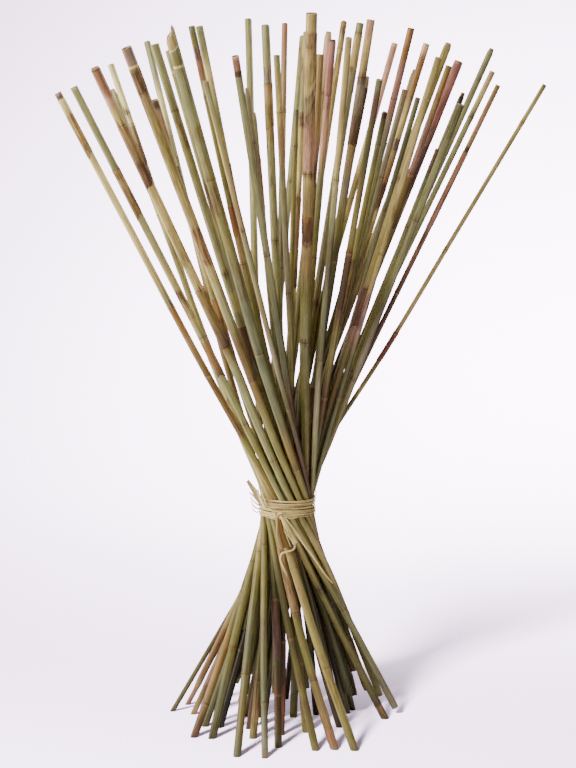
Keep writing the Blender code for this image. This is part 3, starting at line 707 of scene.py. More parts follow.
@dataclass
class Stem:
    """One reed: its skin, nodes, sheaths and hollow cut ends, on the line of its solid."""

    number: int
    line: StemLine
    dress: Dress
    material: bpy.types.Material
    foot: float = field(init=False)  # the height of its lower end
    tip: float = field(init=False)
    sides: int = 18
    step: float = 12 * MM  # between the rings of its bare skin
    wall: float = 1.2 * MM
    least_hole: float = 0.35  # the hole's share of the radius where the stem is thin
    hollow: float = 14 * MM  # how deep a cut end is open
    hollow_floor: float = 0.3  # how far its floor is drawn in, by the radius of its mouth
    sheath_thickness: float = 0.45 * MM
    swell: Bell = Bell(0.42 * MM, 2.2, -0.2)  # the collar of a node
    groove: Bell = Bell(0.40 * MM, 0.55, 0.1)  # the line round it
    dark_line: Bell = Bell(0.7, 0.7, 0.0)  # the dirt in the groove
    pale_band: Bell = Bell(0.3, 1.3, -2.2)  # the bloom under the collar
    foot_shade_span: tuple[float, float] = (160 * MM, 340 * MM)  # over which the painted shade on its lower part fades out
    foot_shade_dark: float = 0.76
    level_cut: float = 12 * MM  # over which a foot on the floor turns level with it
    torn: tuple[float, float] = (0.35, 0.2)  # the lesser waves of a sheath's torn edge
    tip_reach: float = 30 * MM  # how far down the slope of a cut tip pulls the skin
    out_of_round: tuple[float, float] = (0.02, 0.012)  # its ovalness and dents, by its radius
    laid_out: float = 4.5 * MM  # the radius for which the skin's pattern is laid out
    pattern_shift: float = 1.37  # metres of pattern between one stem and the next

    def __post_init__(self) -> None:
        """Take the stem's ends from its line."""
        self.foot, self.tip = float(self.line.heights[0]), float(self.line.heights[-1])

    def ring_heights(self) -> np.ndarray:
        """Where the rings of the skin lie: evenly, and close together at each node and edge.

        Returns:
            Heights in metres, from the foot up.
        """
        marks = [height for height, _ in self.dress.skin]
        for node in self.dress.nodes:
            marks += [node + off for off in NODE_RINGS]
        for sheath in self.dress.sheaths:
            marks += [sheath.edge + off for off in EDGE_RINGS]
            marks += [sheath.joint + off for off in JOINT_RINGS]
        for patch in self.dress.patches:
            marks += [patch.low - patch.soft, patch.low, patch.high, patch.high + patch.soft]
        even = np.arange(self.foot, self.tip, self.step)
        heights = np.unique(np.round([*even, self.tip, *(mark * MM for mark in marks)], 5))
        return heights[(heights >= self.foot) & (heights <= self.tip)]

    def profile(self, heights: np.ndarray) -> np.ndarray:
        """How far the surface stands out from the bare stem.

        Args:
            heights: heights in metres.

        Returns:
            Metres of swelling and sheath at each of them.
        """
        out = np.zeros_like(heights)
        for node in self.dress.nodes:
            off = (heights - node * MM) / MM
            out += self.swell.at(off) - self.groove.at(off)
        for sheath in self.dress.sheaths:
            out += np.where(sheath.covers(heights), self.sheath_thickness, 0.0)
        return out

    def colours(self, heights: np.ndarray) -> np.ndarray:
        """The colour of skin and sheaths, with painted shade towards the foot.

        Args:
            heights: heights in metres.

        Returns:
            A linear colour for each of them.
        """
        skin = sorted(self.dress.skin, key=lambda stop: stop[0])
        places = np.array([height * MM for height, _ in skin])
        values = np.array([tone.light for _, tone in skin])
        colour = np.column_stack([np.interp(heights, places, values[:, k]) for k in range(3)])
        for sheath in self.dress.sheaths:
            length = abs(sheath.edge * MM - sheath.joint * MM)
            share = np.clip(np.abs(heights - sheath.joint * MM) / length, 0, 1)[:, None] ** 1.5
            worn = (1 - share) * sheath.near.light + share * sheath.rim.light
            colour = np.where(sheath.covers(heights)[:, None], worn, colour)
        for node in self.dress.nodes:
            off = (heights - node * MM) / MM
            for band, tone in ((self.pale_band, Tone.STRAW), (self.dark_line, Tone.UMBER)):
                amount = band.at(off)[:, None]
                colour = colour * (1 - amount) + amount * tone.light
        # Painted shade: every stem is darker towards its foot, fading out just above the tie
        return colour * np.interp(heights, self.foot_shade_span, (self.foot_shade_dark, 1.0))[:, None]

    def stains(self, heights: np.ndarray) -> np.ndarray:
        """The stains, each over the weaker ones.

        Args:
            heights: heights in metres.

        Returns:
            A linear colour for each of them, with the stain's amount as a fourth channel.
        """
        stain = np.tile([*Tone.BROWN.light, 0.0], (len(heights), 1))
        # Every node is faintly browned, 3 mm up and down
        round_nodes = [Patch(node - 3, node + 3, Tone.BROWN, 0.42, 9) for node in self.dress.nodes]
        for patch in (*round_nodes, *self.dress.patches):
            amount = patch.strength(heights)
            stronger = amount > stain[:, 3]
            stain[stronger, :3] = patch.tone.light
            stain[stronger, 3] = amount[stronger]
        return stain

    def dryness(self, heights: np.ndarray) -> np.ndarray:
        """Where the stem is sheathed.

        Args:
            heights: heights in metres.

        Returns:
            1 where a sheath covers the stem, 0 where its skin is bare.
        """
        dry = np.zeros_like(heights)
        for sheath in self.dress.sheaths:
            dry[sheath.covers(heights)] = 1.0
        return dry

    def slide(self, heights: np.ndarray, angles: np.ndarray) -> np.ndarray:
        """How far the slanted edges of sheaths and tip move the skin up or down.

        Args:
            heights: each vertex's height in metres.
            angles: its angle round the stem.

        Returns:
            Metres along the stem.
        """
        moved = np.zeros_like(heights)
        second, third = self.torn
        for sheath in self.dress.sheaths:
            # Rings further off than this stay level
            reach = 2.2 * sheath.slant * MM + 4 * MM
            near = np.maximum(0, 1 - np.abs(heights - sheath.edge * MM) / reach)
            wave = (
                np.cos(angles - math.radians(sheath.face))
                + second * np.sin(2 * angles + self.number)
                + third * np.sin(3 * angles + 2 * self.number)
            )
            outward = math.copysign(1, sheath.edge - sheath.joint)
            moved += outward * sheath.slant * MM * wave * near
        if self.dress.slant:
            # A slanting cut, highest at the right, with a ragged edge
            near = np.maximum(0, 1 - np.abs(heights - self.tip) / self.tip_reach)
            ragged = np.cos(angles) - 0.5 + 0.25 * np.sin(4 * angles + self.number)
            moved += self.dress.slant * MM * ragged * near
        return moved

    def build(self) -> bpy.types.Object:
        """Make the stem's mesh and dress it.

        Returns:
            The stem's object.
        """
        name = f"stem_{self.number:02d}"
        # Three more rings at each end turn the wall in and close the hollow behind it
        levels = np.concatenate([
            [self.foot + self.hollow, self.foot + self.hollow, self.foot],
            self.ring_heights(),
            [self.tip, self.tip - self.hollow, self.tip - self.hollow],
        ])
        data, ring, side = tube_grid(name, len(levels), self.sides)
        self.shape(data, levels, ring, side)
        self.paint(data, levels, ring)
        up = levels[ring] + self.pattern_shift * self.number
        wrap_uv(data, side, self.sides, math.tau * self.laid_out, up)
        return finished(name, data, self.material)

    def shape(
        self, data: bpy.types.Mesh, levels: np.ndarray, ring: np.ndarray, side: np.ndarray
    ) -> None:
        """Put every vertex in its place.

        Args:
            data: the tube's mesh.
            levels: the height of each ring.
            ring: each vertex's ring.
            side: each vertex's side.
        """
        radius = self.line.radius(levels)
        full = radius + self.profile(levels)
        inside = [0, 1, 2, -3, -2, -1]
        full[inside] = np.maximum(radius - self.wall, self.least_hole * radius)[inside]
        full[[0, -1]] *= self.hollow_floor
        angle = side / self.sides * math.tau
        height = levels[ring]
        up = height + self.slide(height, angle)
        along = self.line.direction(height)
        across = np.cross([0.0, 1.0, 0.0], along)
        across /= np.linalg.norm(across, axis=1, keepdims=True)
        back = np.cross(along, across)
        # A foot on the floor is cut level with it
        if self.foot < 0.5 * MM:
            level = np.maximum(0, 1 - height / self.level_cut)[:, None]
            across = across - level * along * (across[:, 2] / along[:, 2])[:, None]
            back = back - level * along * (back[:, 2] / along[:, 2])[:, None]
        oval, dented = self.out_of_round
        bumps = (
            1
            + oval * np.sin(2 * angle + self.number + 9 * height)
            + dented * np.sin(5 * angle + 30 * height)
        )
        reach = (full[ring] * bumps)[:, None]
        place = self.line.at(height) + reach * (
            np.cos(angle)[:, None] * across + np.sin(angle)[:, None] * back
        )
        place += along * (up - height)[:, None]
        place[:, 2] = np.maximum(place[:, 2], 0.0)
        data.vertices.foreach_set("co", place.ravel())

    def paint(self, data: bpy.types.Mesh, levels: np.ndarray, ring: np.ndarray) -> None:
        """Store tone, stain and dryness as attributes for the finish.

        Args:
            data: the tube's mesh.
            levels: the height of each ring.
            ring: each vertex's ring.
        """
        last = len(levels) - 1
        in_hole = np.isin(ring, [0, 1, 2, last - 2, last - 1, last])
        tone = self.colours(levels)[ring]
        # Inside each cut end: tan at the mouth, and umber on the floor deep in the hole as painted
        # shade
        tone[in_hole] = Tone.TAN.light
        tone[np.isin(ring, [0, 1, last - 1, last])] = Tone.UMBER.light
        stain = self.stains(levels)[ring]
        stain[in_hole, 3] = 0.0
        opaque = np.column_stack([tone, np.ones(len(tone))])
        for name, values in (("Tone", opaque), ("Stain", stain)):
            colours = data.color_attributes.new(name, "FLOAT_COLOR", "POINT")
            colours.data.foreach_set("color", values.ravel())
        dry = data.attributes.new("Dry", "FLOAT", "POINT")
        dry.data.foreach_set("value", self.dryness(levels)[ring])


# Finishes


def add_node(
    tree: bpy.types.NodeTree,
    kind: str,
    settings: dict[str | int, object] | None = None,
    links: dict[str | int, bpy.types.NodeSocket] | None = None,
) -> bpy.types.Node:
    """Add a shader node with its settings and its incoming links.

    Args:
        tree: the material's node tree.
        kind: the node's type.
        settings: the node's properties by name, and its sockets' values by name or number.
        links: output sockets by the input's name or number.

    Returns:
        The new node.
    """
    node = tree.nodes.new(kind)
    for key, value in (settings or {}).items():
        if isinstance(key, str) and hasattr(node, key):
            setattr(node, key, value)
        else:
            node.inputs[key].default_value = value
    for key, socket in (links or {}).items():
        tree.links.new(socket, node.inputs[key])
    return node


def new_material(name: str) -> tuple[bpy.types.Material, bpy.types.NodeTree, bpy.types.Node]:
    """Make a node material.

    Args:
        name: the material's name.

    Returns:
        The material, its tree and its Principled BSDF.
    """
    material = bpy.data.materials.new(name)
    material.use_nodes = True
    tree = material.node_tree
    return material, tree, tree.nodes["Principled BSDF"]


@dataclass(frozen=True)
class ReedFinish:
    """Dried reed: a waxed, finely ribbed skin, and papery sheaths with coarse veins over it."""

    # Real ribs lie about 0.3 mm apart, and the veins of a sheath 0.6 mm. Both are drawn coarser,
    # so that they show at the camera's distance.
    rib: float = 1.2 * MM
    vein: float = 1.7 * MM
    run: float = 70 * MM  # how far a rib keeps its colour
    blotch: float = 7 * MM  # width of a cloud of darker or paler skin
    fleck: float = 2.4 * MM  # width of a fleck at a stain's edge
    rib_light: tuple[float, float] = (0.56, 1.40)  # what its darkest and palest do to the tone
    blotch_light: tuple[float, float] = (0.76, 1.22)
    stain_edge: tuple[float, float] = (0.30, 0.72)  # the amounts where it starts and is full
    skin_roughness: float = 0.40  # waxed
    sheath_roughness: float = 0.62  # dry as paper
    relief: float = 0.4 * MM  # height of its ribs and veins
    ior: float = 1.45  # plant wax
    specular: float = 0.45

    def make(self) -> bpy.types.Material:
        """Make the material.

        Returns:
            One material for skin and sheath, told apart by the stem's Dry attribute.
        """
        # Air-dried reed: its wax gives the ribs a silky gloss, and its old sheaths look matt
        material, tree, shader = new_material("dried reed")
        uv = add_node(tree, "ShaderNodeUVMap", {"uv_map": "Skin"})
        tone, stain, dry = (
            add_node(tree, "ShaderNodeAttribute", {"attribute_name": name})
            for name in ("Tone", "Stain", "Dry")
        )
        ribs = self.streaks(tree, uv, self.rib, self.run)
        veins = self.streaks(tree, uv, self.vein, 0.5 * self.run)
        blotch = self.streaks(tree, uv, self.blotch, 4 * self.blotch)
        # Noise mostly lies between 0.3 and 0.7, and the ranges below begin and end near there.
        # Stain: its amount against broken, lengthwise noise
        breaks = self.streaks(tree, uv, self.fleck, 12 * self.fleck)
        spread = add_node(tree, "ShaderNodeMapRange", {1: 0.25, 2: 0.75, 3: -0.5, 4: 0.5},
                          {0: breaks.outputs[0]})
        raised = add_node(tree, "ShaderNodeMath", {"operation": "ADD"},
                          {0: stain.outputs["Alpha"], 1: spread.outputs[0]})
        start, full = self.stain_edge
        cover = add_node(tree, "ShaderNodeMapRange", {1: start, 2: full, 3: 0.0, 4: 1.0},
                         {0: raised.outputs[0]})
        # Noise alone makes no stain: where the amount is 0, the cover is taken away
        some = add_node(tree, "ShaderNodeMath",
                        {"operation": "MULTIPLY", "use_clamp": True, 1: 6.0},
                        {0: stain.outputs["Alpha"]})
        mask = add_node(tree, "ShaderNodeMath", {"operation": "MULTIPLY"},
                        {0: cover.outputs[0], 1: some.outputs[0]})
        marked = add_node(tree, "ShaderNodeMix", {"data_type": "RGBA"},
                          {0: mask.outputs[0], 6: tone.outputs["Color"], 7: stain.outputs["Color"]})
        # Streaks: fine ribs on the skin, coarser veins on a sheath
        fine = add_node(tree, "ShaderNodeMix", {"data_type": "FLOAT"},
                        {0: dry.outputs["Fac"], 2: ribs.outputs[0], 3: veins.outputs[0]})
        dark, pale = self.rib_light
        light = add_node(tree, "ShaderNodeMapRange", {1: 0.32, 2: 0.68, 3: dark, 4: pale},
                         {0: fine.outputs[0]})
        dark, pale = self.blotch_light
        mottled = add_node(tree, "ShaderNodeMapRange", {1: 0.3, 2: 0.7, 3: dark, 4: pale},
                           {0: blotch.outputs[0]})
        shade = add_node(tree, "ShaderNodeMath", {"operation": "MULTIPLY"},
                         {0: light.outputs[0], 1: mottled.outputs[0]})
        coloured = add_node(tree, "ShaderNodeVectorMath", {"operation": "SCALE"},
                            {0: marked.outputs[2], 3: shade.outputs[0]})
        rough = add_node(tree, "ShaderNodeMapRange",
                         {1: 0.0, 2: 1.0, 3: self.skin_roughness, 4: self.sheath_roughness},
                         {0: dry.outputs["Fac"]})
        bump = add_node(tree, "ShaderNodeBump", {"Strength": 0.4, "Distance": self.relief},
                        {"Height": fine.outputs[0]})
        tree.links.new(coloured.outputs[0], shader.inputs["Base Color"])
        tree.links.new(rough.outputs[0], shader.inputs["Roughness"])
        tree.links.new(bump.outputs[0], shader.inputs["Normal"])
        shader.inputs["IOR"].default_value = self.ior
        shader.inputs["Specular IOR Level"].default_value = self.specular
        return material

    def streaks(
        self, tree: bpy.types.NodeTree, uv: bpy.types.Node, wide: float, long: float
    ) -> bpy.types.Node:
        """Noise drawn out along the stem.

        Args:
            tree: the material's tree.
            uv: the UV node of the skin.
            wide: the width of a streak in metres.
            long: its length in metres.

        Returns:
            The noise node.
        """
        place = add_node(tree, "ShaderNodeMapping", {"Scale": (1 / wide, 1 / long, 1.0)},
                         {"Vector": uv.outputs[0]})
        return add_node(tree, "ShaderNodeTexNoise", {"Scale": 1.0, "Detail": 4.0, "Roughness": 0.6},
                        {"Vector": place.outputs[0]})


@dataclass(frozen=True)
class RaffiaFinish:
    """Raffia: palm fibre torn into flat ribbons, straw coloured, with fine lengthwise fibres."""

    pale: str = "#ffe398"
    deep: str = "#805c2a"
    dried: str = "#86714a"  # what age multiplies the colour by
    ramp: tuple[float, float] = (0.36, 0.52)  # where in the noise it is deep and pale
    fibre: float = 0.5 * MM  # real ones are finer; these just show
    run: float = 30 * MM  # how far a fibre keeps its colour
    roughness: float = 0.7
    relief: float = 0.3 * MM

    def make(self) -> bpy.types.Material:
        """Make the material.

        Returns:
            The raffia's material, which reads the ribbon's own UV map.
        """
        # Torn and dried palm leaf: matt, with pale and deep fibres side by side
        material, tree, shader = new_material("raffia")
        uv = add_node(tree, "ShaderNodeUVMap", {"uv_map": "Skin"})
        place = add_node(tree, "ShaderNodeMapping", {"Scale": (1 / self.fibre, 1 / self.run, 1.0)},
                         {"Vector": uv.outputs[0]})
        noise = add_node(tree, "ShaderNodeTexNoise",
                         {"Scale": 1.0, "Detail": 5.0, "Roughness": 0.65},
                         {"Vector": place.outputs[0]})
        ramp = add_node(tree, "ShaderNodeValToRGB", {}, {0: noise.outputs[0]})
        colours = (self.deep, self.pale)
        for element, position, colour in zip(ramp.color_ramp.elements, self.ramp, colours):
            element.position = position
            element.color = (*linear(colour), 1)
        age = add_node(tree, "ShaderNodeAttribute", {"attribute_name": "Age"})
        dried = add_node(tree, "ShaderNodeMix", {"data_type": "RGBA", "blend_type": "MULTIPLY",
                                                 7: (*linear(self.dried), 1)},
                         {0: age.outputs["Fac"], 6: ramp.outputs[0]})
        bump = add_node(tree, "ShaderNodeBump", {"Strength": 0.5, "Distance": self.relief},
                        {"Height": noise.outputs[0]})
        tree.links.new(dried.outputs[2], shader.inputs["Base Color"])
        tree.links.new(bump.outputs[0], shader.inputs["Normal"])
        shader.inputs["Roughness"].default_value = self.roughness
        return material


# Studio


@dataclass(frozen=True)
class Lamp:
    """A square soft light, aimed at the bunch's middle."""

    name: str
    place: Point
    size: float  # its side in metres
    power: float  # in watts
    target: Point = (0.0, 0.0, 0.4)

    def build(self, receivers: bpy.types.Collection) -> None:
        """Place the light.

        Args:
            receivers: the only things that it lights, or all but those that this excludes.
        """
        data = bpy.data.lights.new(self.name, "AREA")
        data.shape = "SQUARE"
        data.size = self.size
        data.energy = self.power
        light = bpy.data.objects.new(self.name, data)
        light.location = self.place
        aim = Vector(self.target) - Vector(self.place)
        light.rotation_euler = aim.to_track_quat("-Z", "Y").to_euler()
        bpy.context.scene.collection.objects.link(light)
        light.light_linking.receiver_collection = receivers


@dataclass(frozen=True)
class Studio:
    """A pale sweep of paper, soft light from the front left, and the camera, in metres."""

    camera_distance: float = 2.5
    camera_height: float = 0.726
    camera_pitch: float = 6.5  # downwards, in degrees
    lens: float = 93.75  # in mm, on a frame 36 mm high
    sweep_side: float = 6.0  # how far it reaches to each side
    sweep_front: float = -0.9
    sweep_start: float = 1.1
    sweep_radius: float = 1.6
    sweep_rise: float = 3.0  # of its straight wall, above the curve
    paper: str = "#f2dbf9"
    dim: str = "#8a868c"  # the paper as the reeds see it
    # A painted glow on the paper, seen only by the camera: brightest at a spot behind the bunch,
    # fading out with distance
    painted_glow_centre: Point = (0.75, 2.0, 0.05)
    painted_glow: float = 11.0  # strength of the painted glow at its centre
    painted_glow_reach: float = 2.3
    painted_glow_edge: float = 0.1  # beyond that reach
    air: str = "#f4f2f8"
    air_strength: float = 0.2
    floor_lamp: Lamp = Lamp("floor light", (-1.35, -2.5, 2.2), 0.5, 1000.0)
    reed_lamps: tuple[Lamp, ...] = (
        Lamp("key", (-1.75, -1.8, 2.1), 1.2, 76.0),
        Lamp("side", (-2.4, 0.0, 1.3), 1.0, 80.0),
        Lamp("fill", (2.3, -2.0, 1.5), 2.2, 3.0),
        Lamp("top", (0.3, 1.3, 2.9), 2.0, 60.0),
    )

    def build(self) -> None:
        """Place the sweep, the lights and the camera."""
        sweep = self.make_sweep()
        # The floor's light throws the shadow, and the others model the reeds
        paper_only = bpy.data.collections.new("paper only")
        paper_only.objects.link(sweep)
        reeds_only = bpy.data.collections.new("all but the paper")
        reeds_only.objects.link(sweep)
        reeds_only.collection_objects[0].light_linking.link_state = "EXCLUDE"
        self.floor_lamp.build(paper_only)
        for lamp in self.reed_lamps:
            lamp.build(reeds_only)
        world = bpy.context.scene.world or bpy.data.worlds.new("studio")
        bpy.context.scene.world = world
        world.use_nodes = True
        background = world.node_tree.nodes["Background"]
        background.inputs["Color"].default_value = (*linear(self.air), 1)
        background.inputs["Strength"].default_value = self.air_strength
        self.make_camera()

    def make_sweep(self) -> bpy.types.Object:
        """Spin and extrude one straight edge to a floor that curves up into a wall.

        Returns:
            The sweep.
        """
        mesh = bmesh.new()
        ends = (-self.sweep_side, self.sweep_side)
        edge = mesh.edges.new([mesh.verts.new((x, self.sweep_front, 0.0)) for x in ends])
        floor = bmesh.ops.extrude_edge_only(mesh, edges=[edge])["geom"]
        far = [item for item in floor if isinstance(item, bmesh.types.BMVert)]
        bmesh.ops.translate(mesh, vec=(0, self.sweep_start - self.sweep_front, 0), verts=far)
        rim = [item for item in floor if isinstance(item, bmesh.types.BMEdge)]
        rim = [item for item in rim if all(vert in far for vert in item.verts)]
        curved = bmesh.ops.spin(
            mesh, geom=rim + far, cent=(0, self.sweep_start, self.sweep_radius), axis=(1, 0, 0),
            angle=math.radians(90), steps=24, dvec=(0, 0, 0),
        )["geom_last"]
        rim = [item for item in curved if isinstance(item, bmesh.types.BMEdge)]
        wall = bmesh.ops.extrude_edge_only(mesh, edges=rim)["geom"]
        top = [item for item in wall if isinstance(item, bmesh.types.BMVert)]
        bmesh.ops.translate(mesh, vec=(0, 0, self.sweep_rise), verts=top)
        bmesh.ops.recalc_face_normals(mesh, faces=mesh.faces)
        data = bpy.data.meshes.new("sweep")
        mesh.to_mesh(data)
        mesh.free()
        sweep = finished("sweep", data, self.make_paper())
        return sweep

    def make_paper(self) -> bpy.types.Material:
        """Make the paper: a painted glow that only the camera sees, brightest at a spot behind the
        bunch, and little light thrown back at the reeds.

        Returns:
            The paper's material.
        """
        # Uncoated backing paper: matt and pale, with a painted glow that only the camera sees
        material, tree, shader = new_material("background paper")
        seen = add_node(tree, "ShaderNodeLightPath")
        pale = (*linear(self.paper), 1)
        colour = add_node(tree, "ShaderNodeMix",
                          {"data_type": "RGBA", 6: (*linear(self.dim), 1), 7: pale},
                          {0: seen.outputs["Is Camera Ray"]})
        place = add_node(tree, "ShaderNodeTexCoord")
        away = add_node(tree, "ShaderNodeVectorMath",
                        {"operation": "DISTANCE", 1: self.painted_glow_centre},
                        {0: place.outputs["Object"]})
        painted_glow = add_node(tree, "ShaderNodeMapRange",
                        {"interpolation_type": "SMOOTHSTEP",
                         1: 0.0, 2: self.painted_glow_reach, 3: self.painted_glow, 4: self.painted_glow_edge},
                        {0: away.outputs["Value"]})
        # Painted glow: only camera rays see the paper's emission
        strength = add_node(tree, "ShaderNodeMath", {"operation": "MULTIPLY"},
                            {0: painted_glow.outputs[0], 1: seen.outputs["Is Camera Ray"]})
        tree.links.new(colour.outputs[2], shader.inputs["Base Color"])
        tree.links.new(strength.outputs[0], shader.inputs["Emission Strength"])
        shader.inputs["Emission Color"].default_value = pale
        shader.inputs["Roughness"].default_value = 0.9
        shader.inputs["Specular IOR Level"].default_value = 0.1
        return material

    def make_camera(self) -> None:
        """Place the camera, its frame upright, looking slightly down at the bunch."""
        data = bpy.data.cameras.new("camera")
        data.sensor_fit = "VERTICAL"
        data.sensor_height = 36.0
        data.lens = self.lens
        data.clip_start = 0.05
        camera = bpy.data.objects.new("camera", data)
        camera.location = TIE_AXIS + Vector((0, -self.camera_distance, self.camera_height))
        camera.rotation_euler = (math.radians(90 - self.camera_pitch), 0, 0)
        bpy.context.scene.collection.objects.link(camera)
        bpy.context.scene.camera = camera


# The raffia


def lengths_along(places: np.ndarray) -> np.ndarray:
    """How far along a line each of its places lies."""
    return np.concatenate([[0], np.cumsum(np.linalg.norm(np.diff(places, axis=0), axis=1))])


def smooth_route(points: Sequence[Point], step: float) -> np.ndarray:
    """Evenly spaced places on a smooth curve through points of the tie's frame, in mm.

    Args:
        points: places on the route, in mm from the foot of the tie's axis.
        step: the spacing in metres.

    Returns:
        Places in metres in the model's frame, one per row.
    """
    given = np.array(points) * MM + np.array(TIE_AXIS)
    given = np.vstack([2 * given[0] - given[1], given, 2 * given[-1] - given[-2]])
    share = np.linspace(0, 1, 24, endpoint=False)[:, None]
    fine = []
    for before, start, end, after in zip(given, given[1:], given[2:], given[3:]):
        fine.append(0.5 * (
            2 * start
            + share * (end - before)
            + share**2 * (2 * before - 5 * start + 4 * end - after)
            + share**3 * (3 * start - before - 3 * end + after)
        ))
    fine = np.vstack([*fine, given[-2:-1]])
    run = lengths_along(fine)
    places = np.linspace(0, run[-1], round(run[-1] / step) + 1)
    return np.column_stack([np.interp(places, run, fine[:, k]) for k in range(3)])


def ribbon(
    name: str, centres: np.ndarray, out: np.ndarray, width: np.ndarray, thick: float,
    age: float = 0.0, sides: int = 10,
) -> bpy.types.Mesh:
    """A flat fibre swept along a line.

    Args:
        name: the mesh's name.
        centres: places on the line.
        out: for each place, the way the flat side faces.
        width: the width at each place.
        thick: the thickness.
        age: from 0 for a pale new fibre to 1 for a brown dry one.
        sides: how many sides it has all round.

    Returns:
        The ribbon's mesh.
    """
    data, ring, side = tube_grid(name, len(centres), sides)
    angle = side / sides * math.tau
    along = np.gradient(centres, axis=0)
    along /= np.linalg.norm(along, axis=1, keepdims=True)
    out = out - along * (out * along).sum(axis=1, keepdims=True)
    out /= np.linalg.norm(out, axis=1, keepdims=True)
    wide = np.cross(along, out)
    place = (
        centres[ring]
        + wide[ring] * (0.5 * width[ring] * np.cos(angle))[:, None]
        - out[ring] * (0.5 * thick * np.sin(angle))[:, None]
    )
    data.vertices.foreach_set("co", place.ravel())
    # Each fibre starts at its own place in the pattern
    up = lengths_along(centres)[ring] + 0.37 * float(centres[0, 2]) / MM
    wrap_uv(data, side, sides, 2 * float(width.mean()), up)
    aged = data.attributes.new("Age", "FLOAT", "POINT")
    aged.data.foreach_set("value", np.full(len(data.vertices), age))
    data.update()
    return data


def joined(
    name: str, parts: list[bpy.types.Mesh], material: bpy.types.Material
) -> bpy.types.Object:
    """One object of several fibres' meshes.

    Args:
        name: the object's name.
        parts: the meshes.
        material: what all of them are made of.

    Returns:
        The object.
    """
    mesh = bmesh.new()
    mesh.loops.layers.uv.new("Skin")
    mesh.verts.layers.float.new("Age")
    for part in parts:
        mesh.from_mesh(part)
    data = bpy.data.meshes.new(name)
    mesh.to_mesh(data)
    mesh.free()
    return finished(name, data, material)


@dataclass(frozen=True)
class Fibre:
    """One of the split fibres that run side by side in the turns, in mm."""

    width: float
    thick: float
    off: float  # how far off the reeds it lies
    lift: float  # how far above the middle of the turn


@dataclass(frozen=True)
class Blade:
    """A loose flat blade of raffia, through points in mm from the foot of the tie's axis."""

    points: tuple[Point, ...]
    start: float  # its width in mm where it leaves the tie
    end: float  # and at its tip
    age: float  # from 0 for pale to 1 for brown
    thick: float = 0.4

    def build(self, name: str, facing: Point, step: float, curve: int = 1) -> bpy.types.Mesh:
        """Sweep the blade along its route.

        Args:
            name: the mesh's name.
            facing: the way its flat side faces.
            step: the spacing of its rings in metres.
            curve: 1 for a straight taper, 2 for one that starts late.

        Returns:
            The blade's mesh.
        """
        route = smooth_route(self.points, step)
        run = np.linspace(0, 1, len(route))
        width = (self.start + (self.end - self.start) * run**curve) * MM
        out = np.tile(facing, (len(route), 1))
        return ribbon(name, route, out, width, self.thick * MM, self.age)


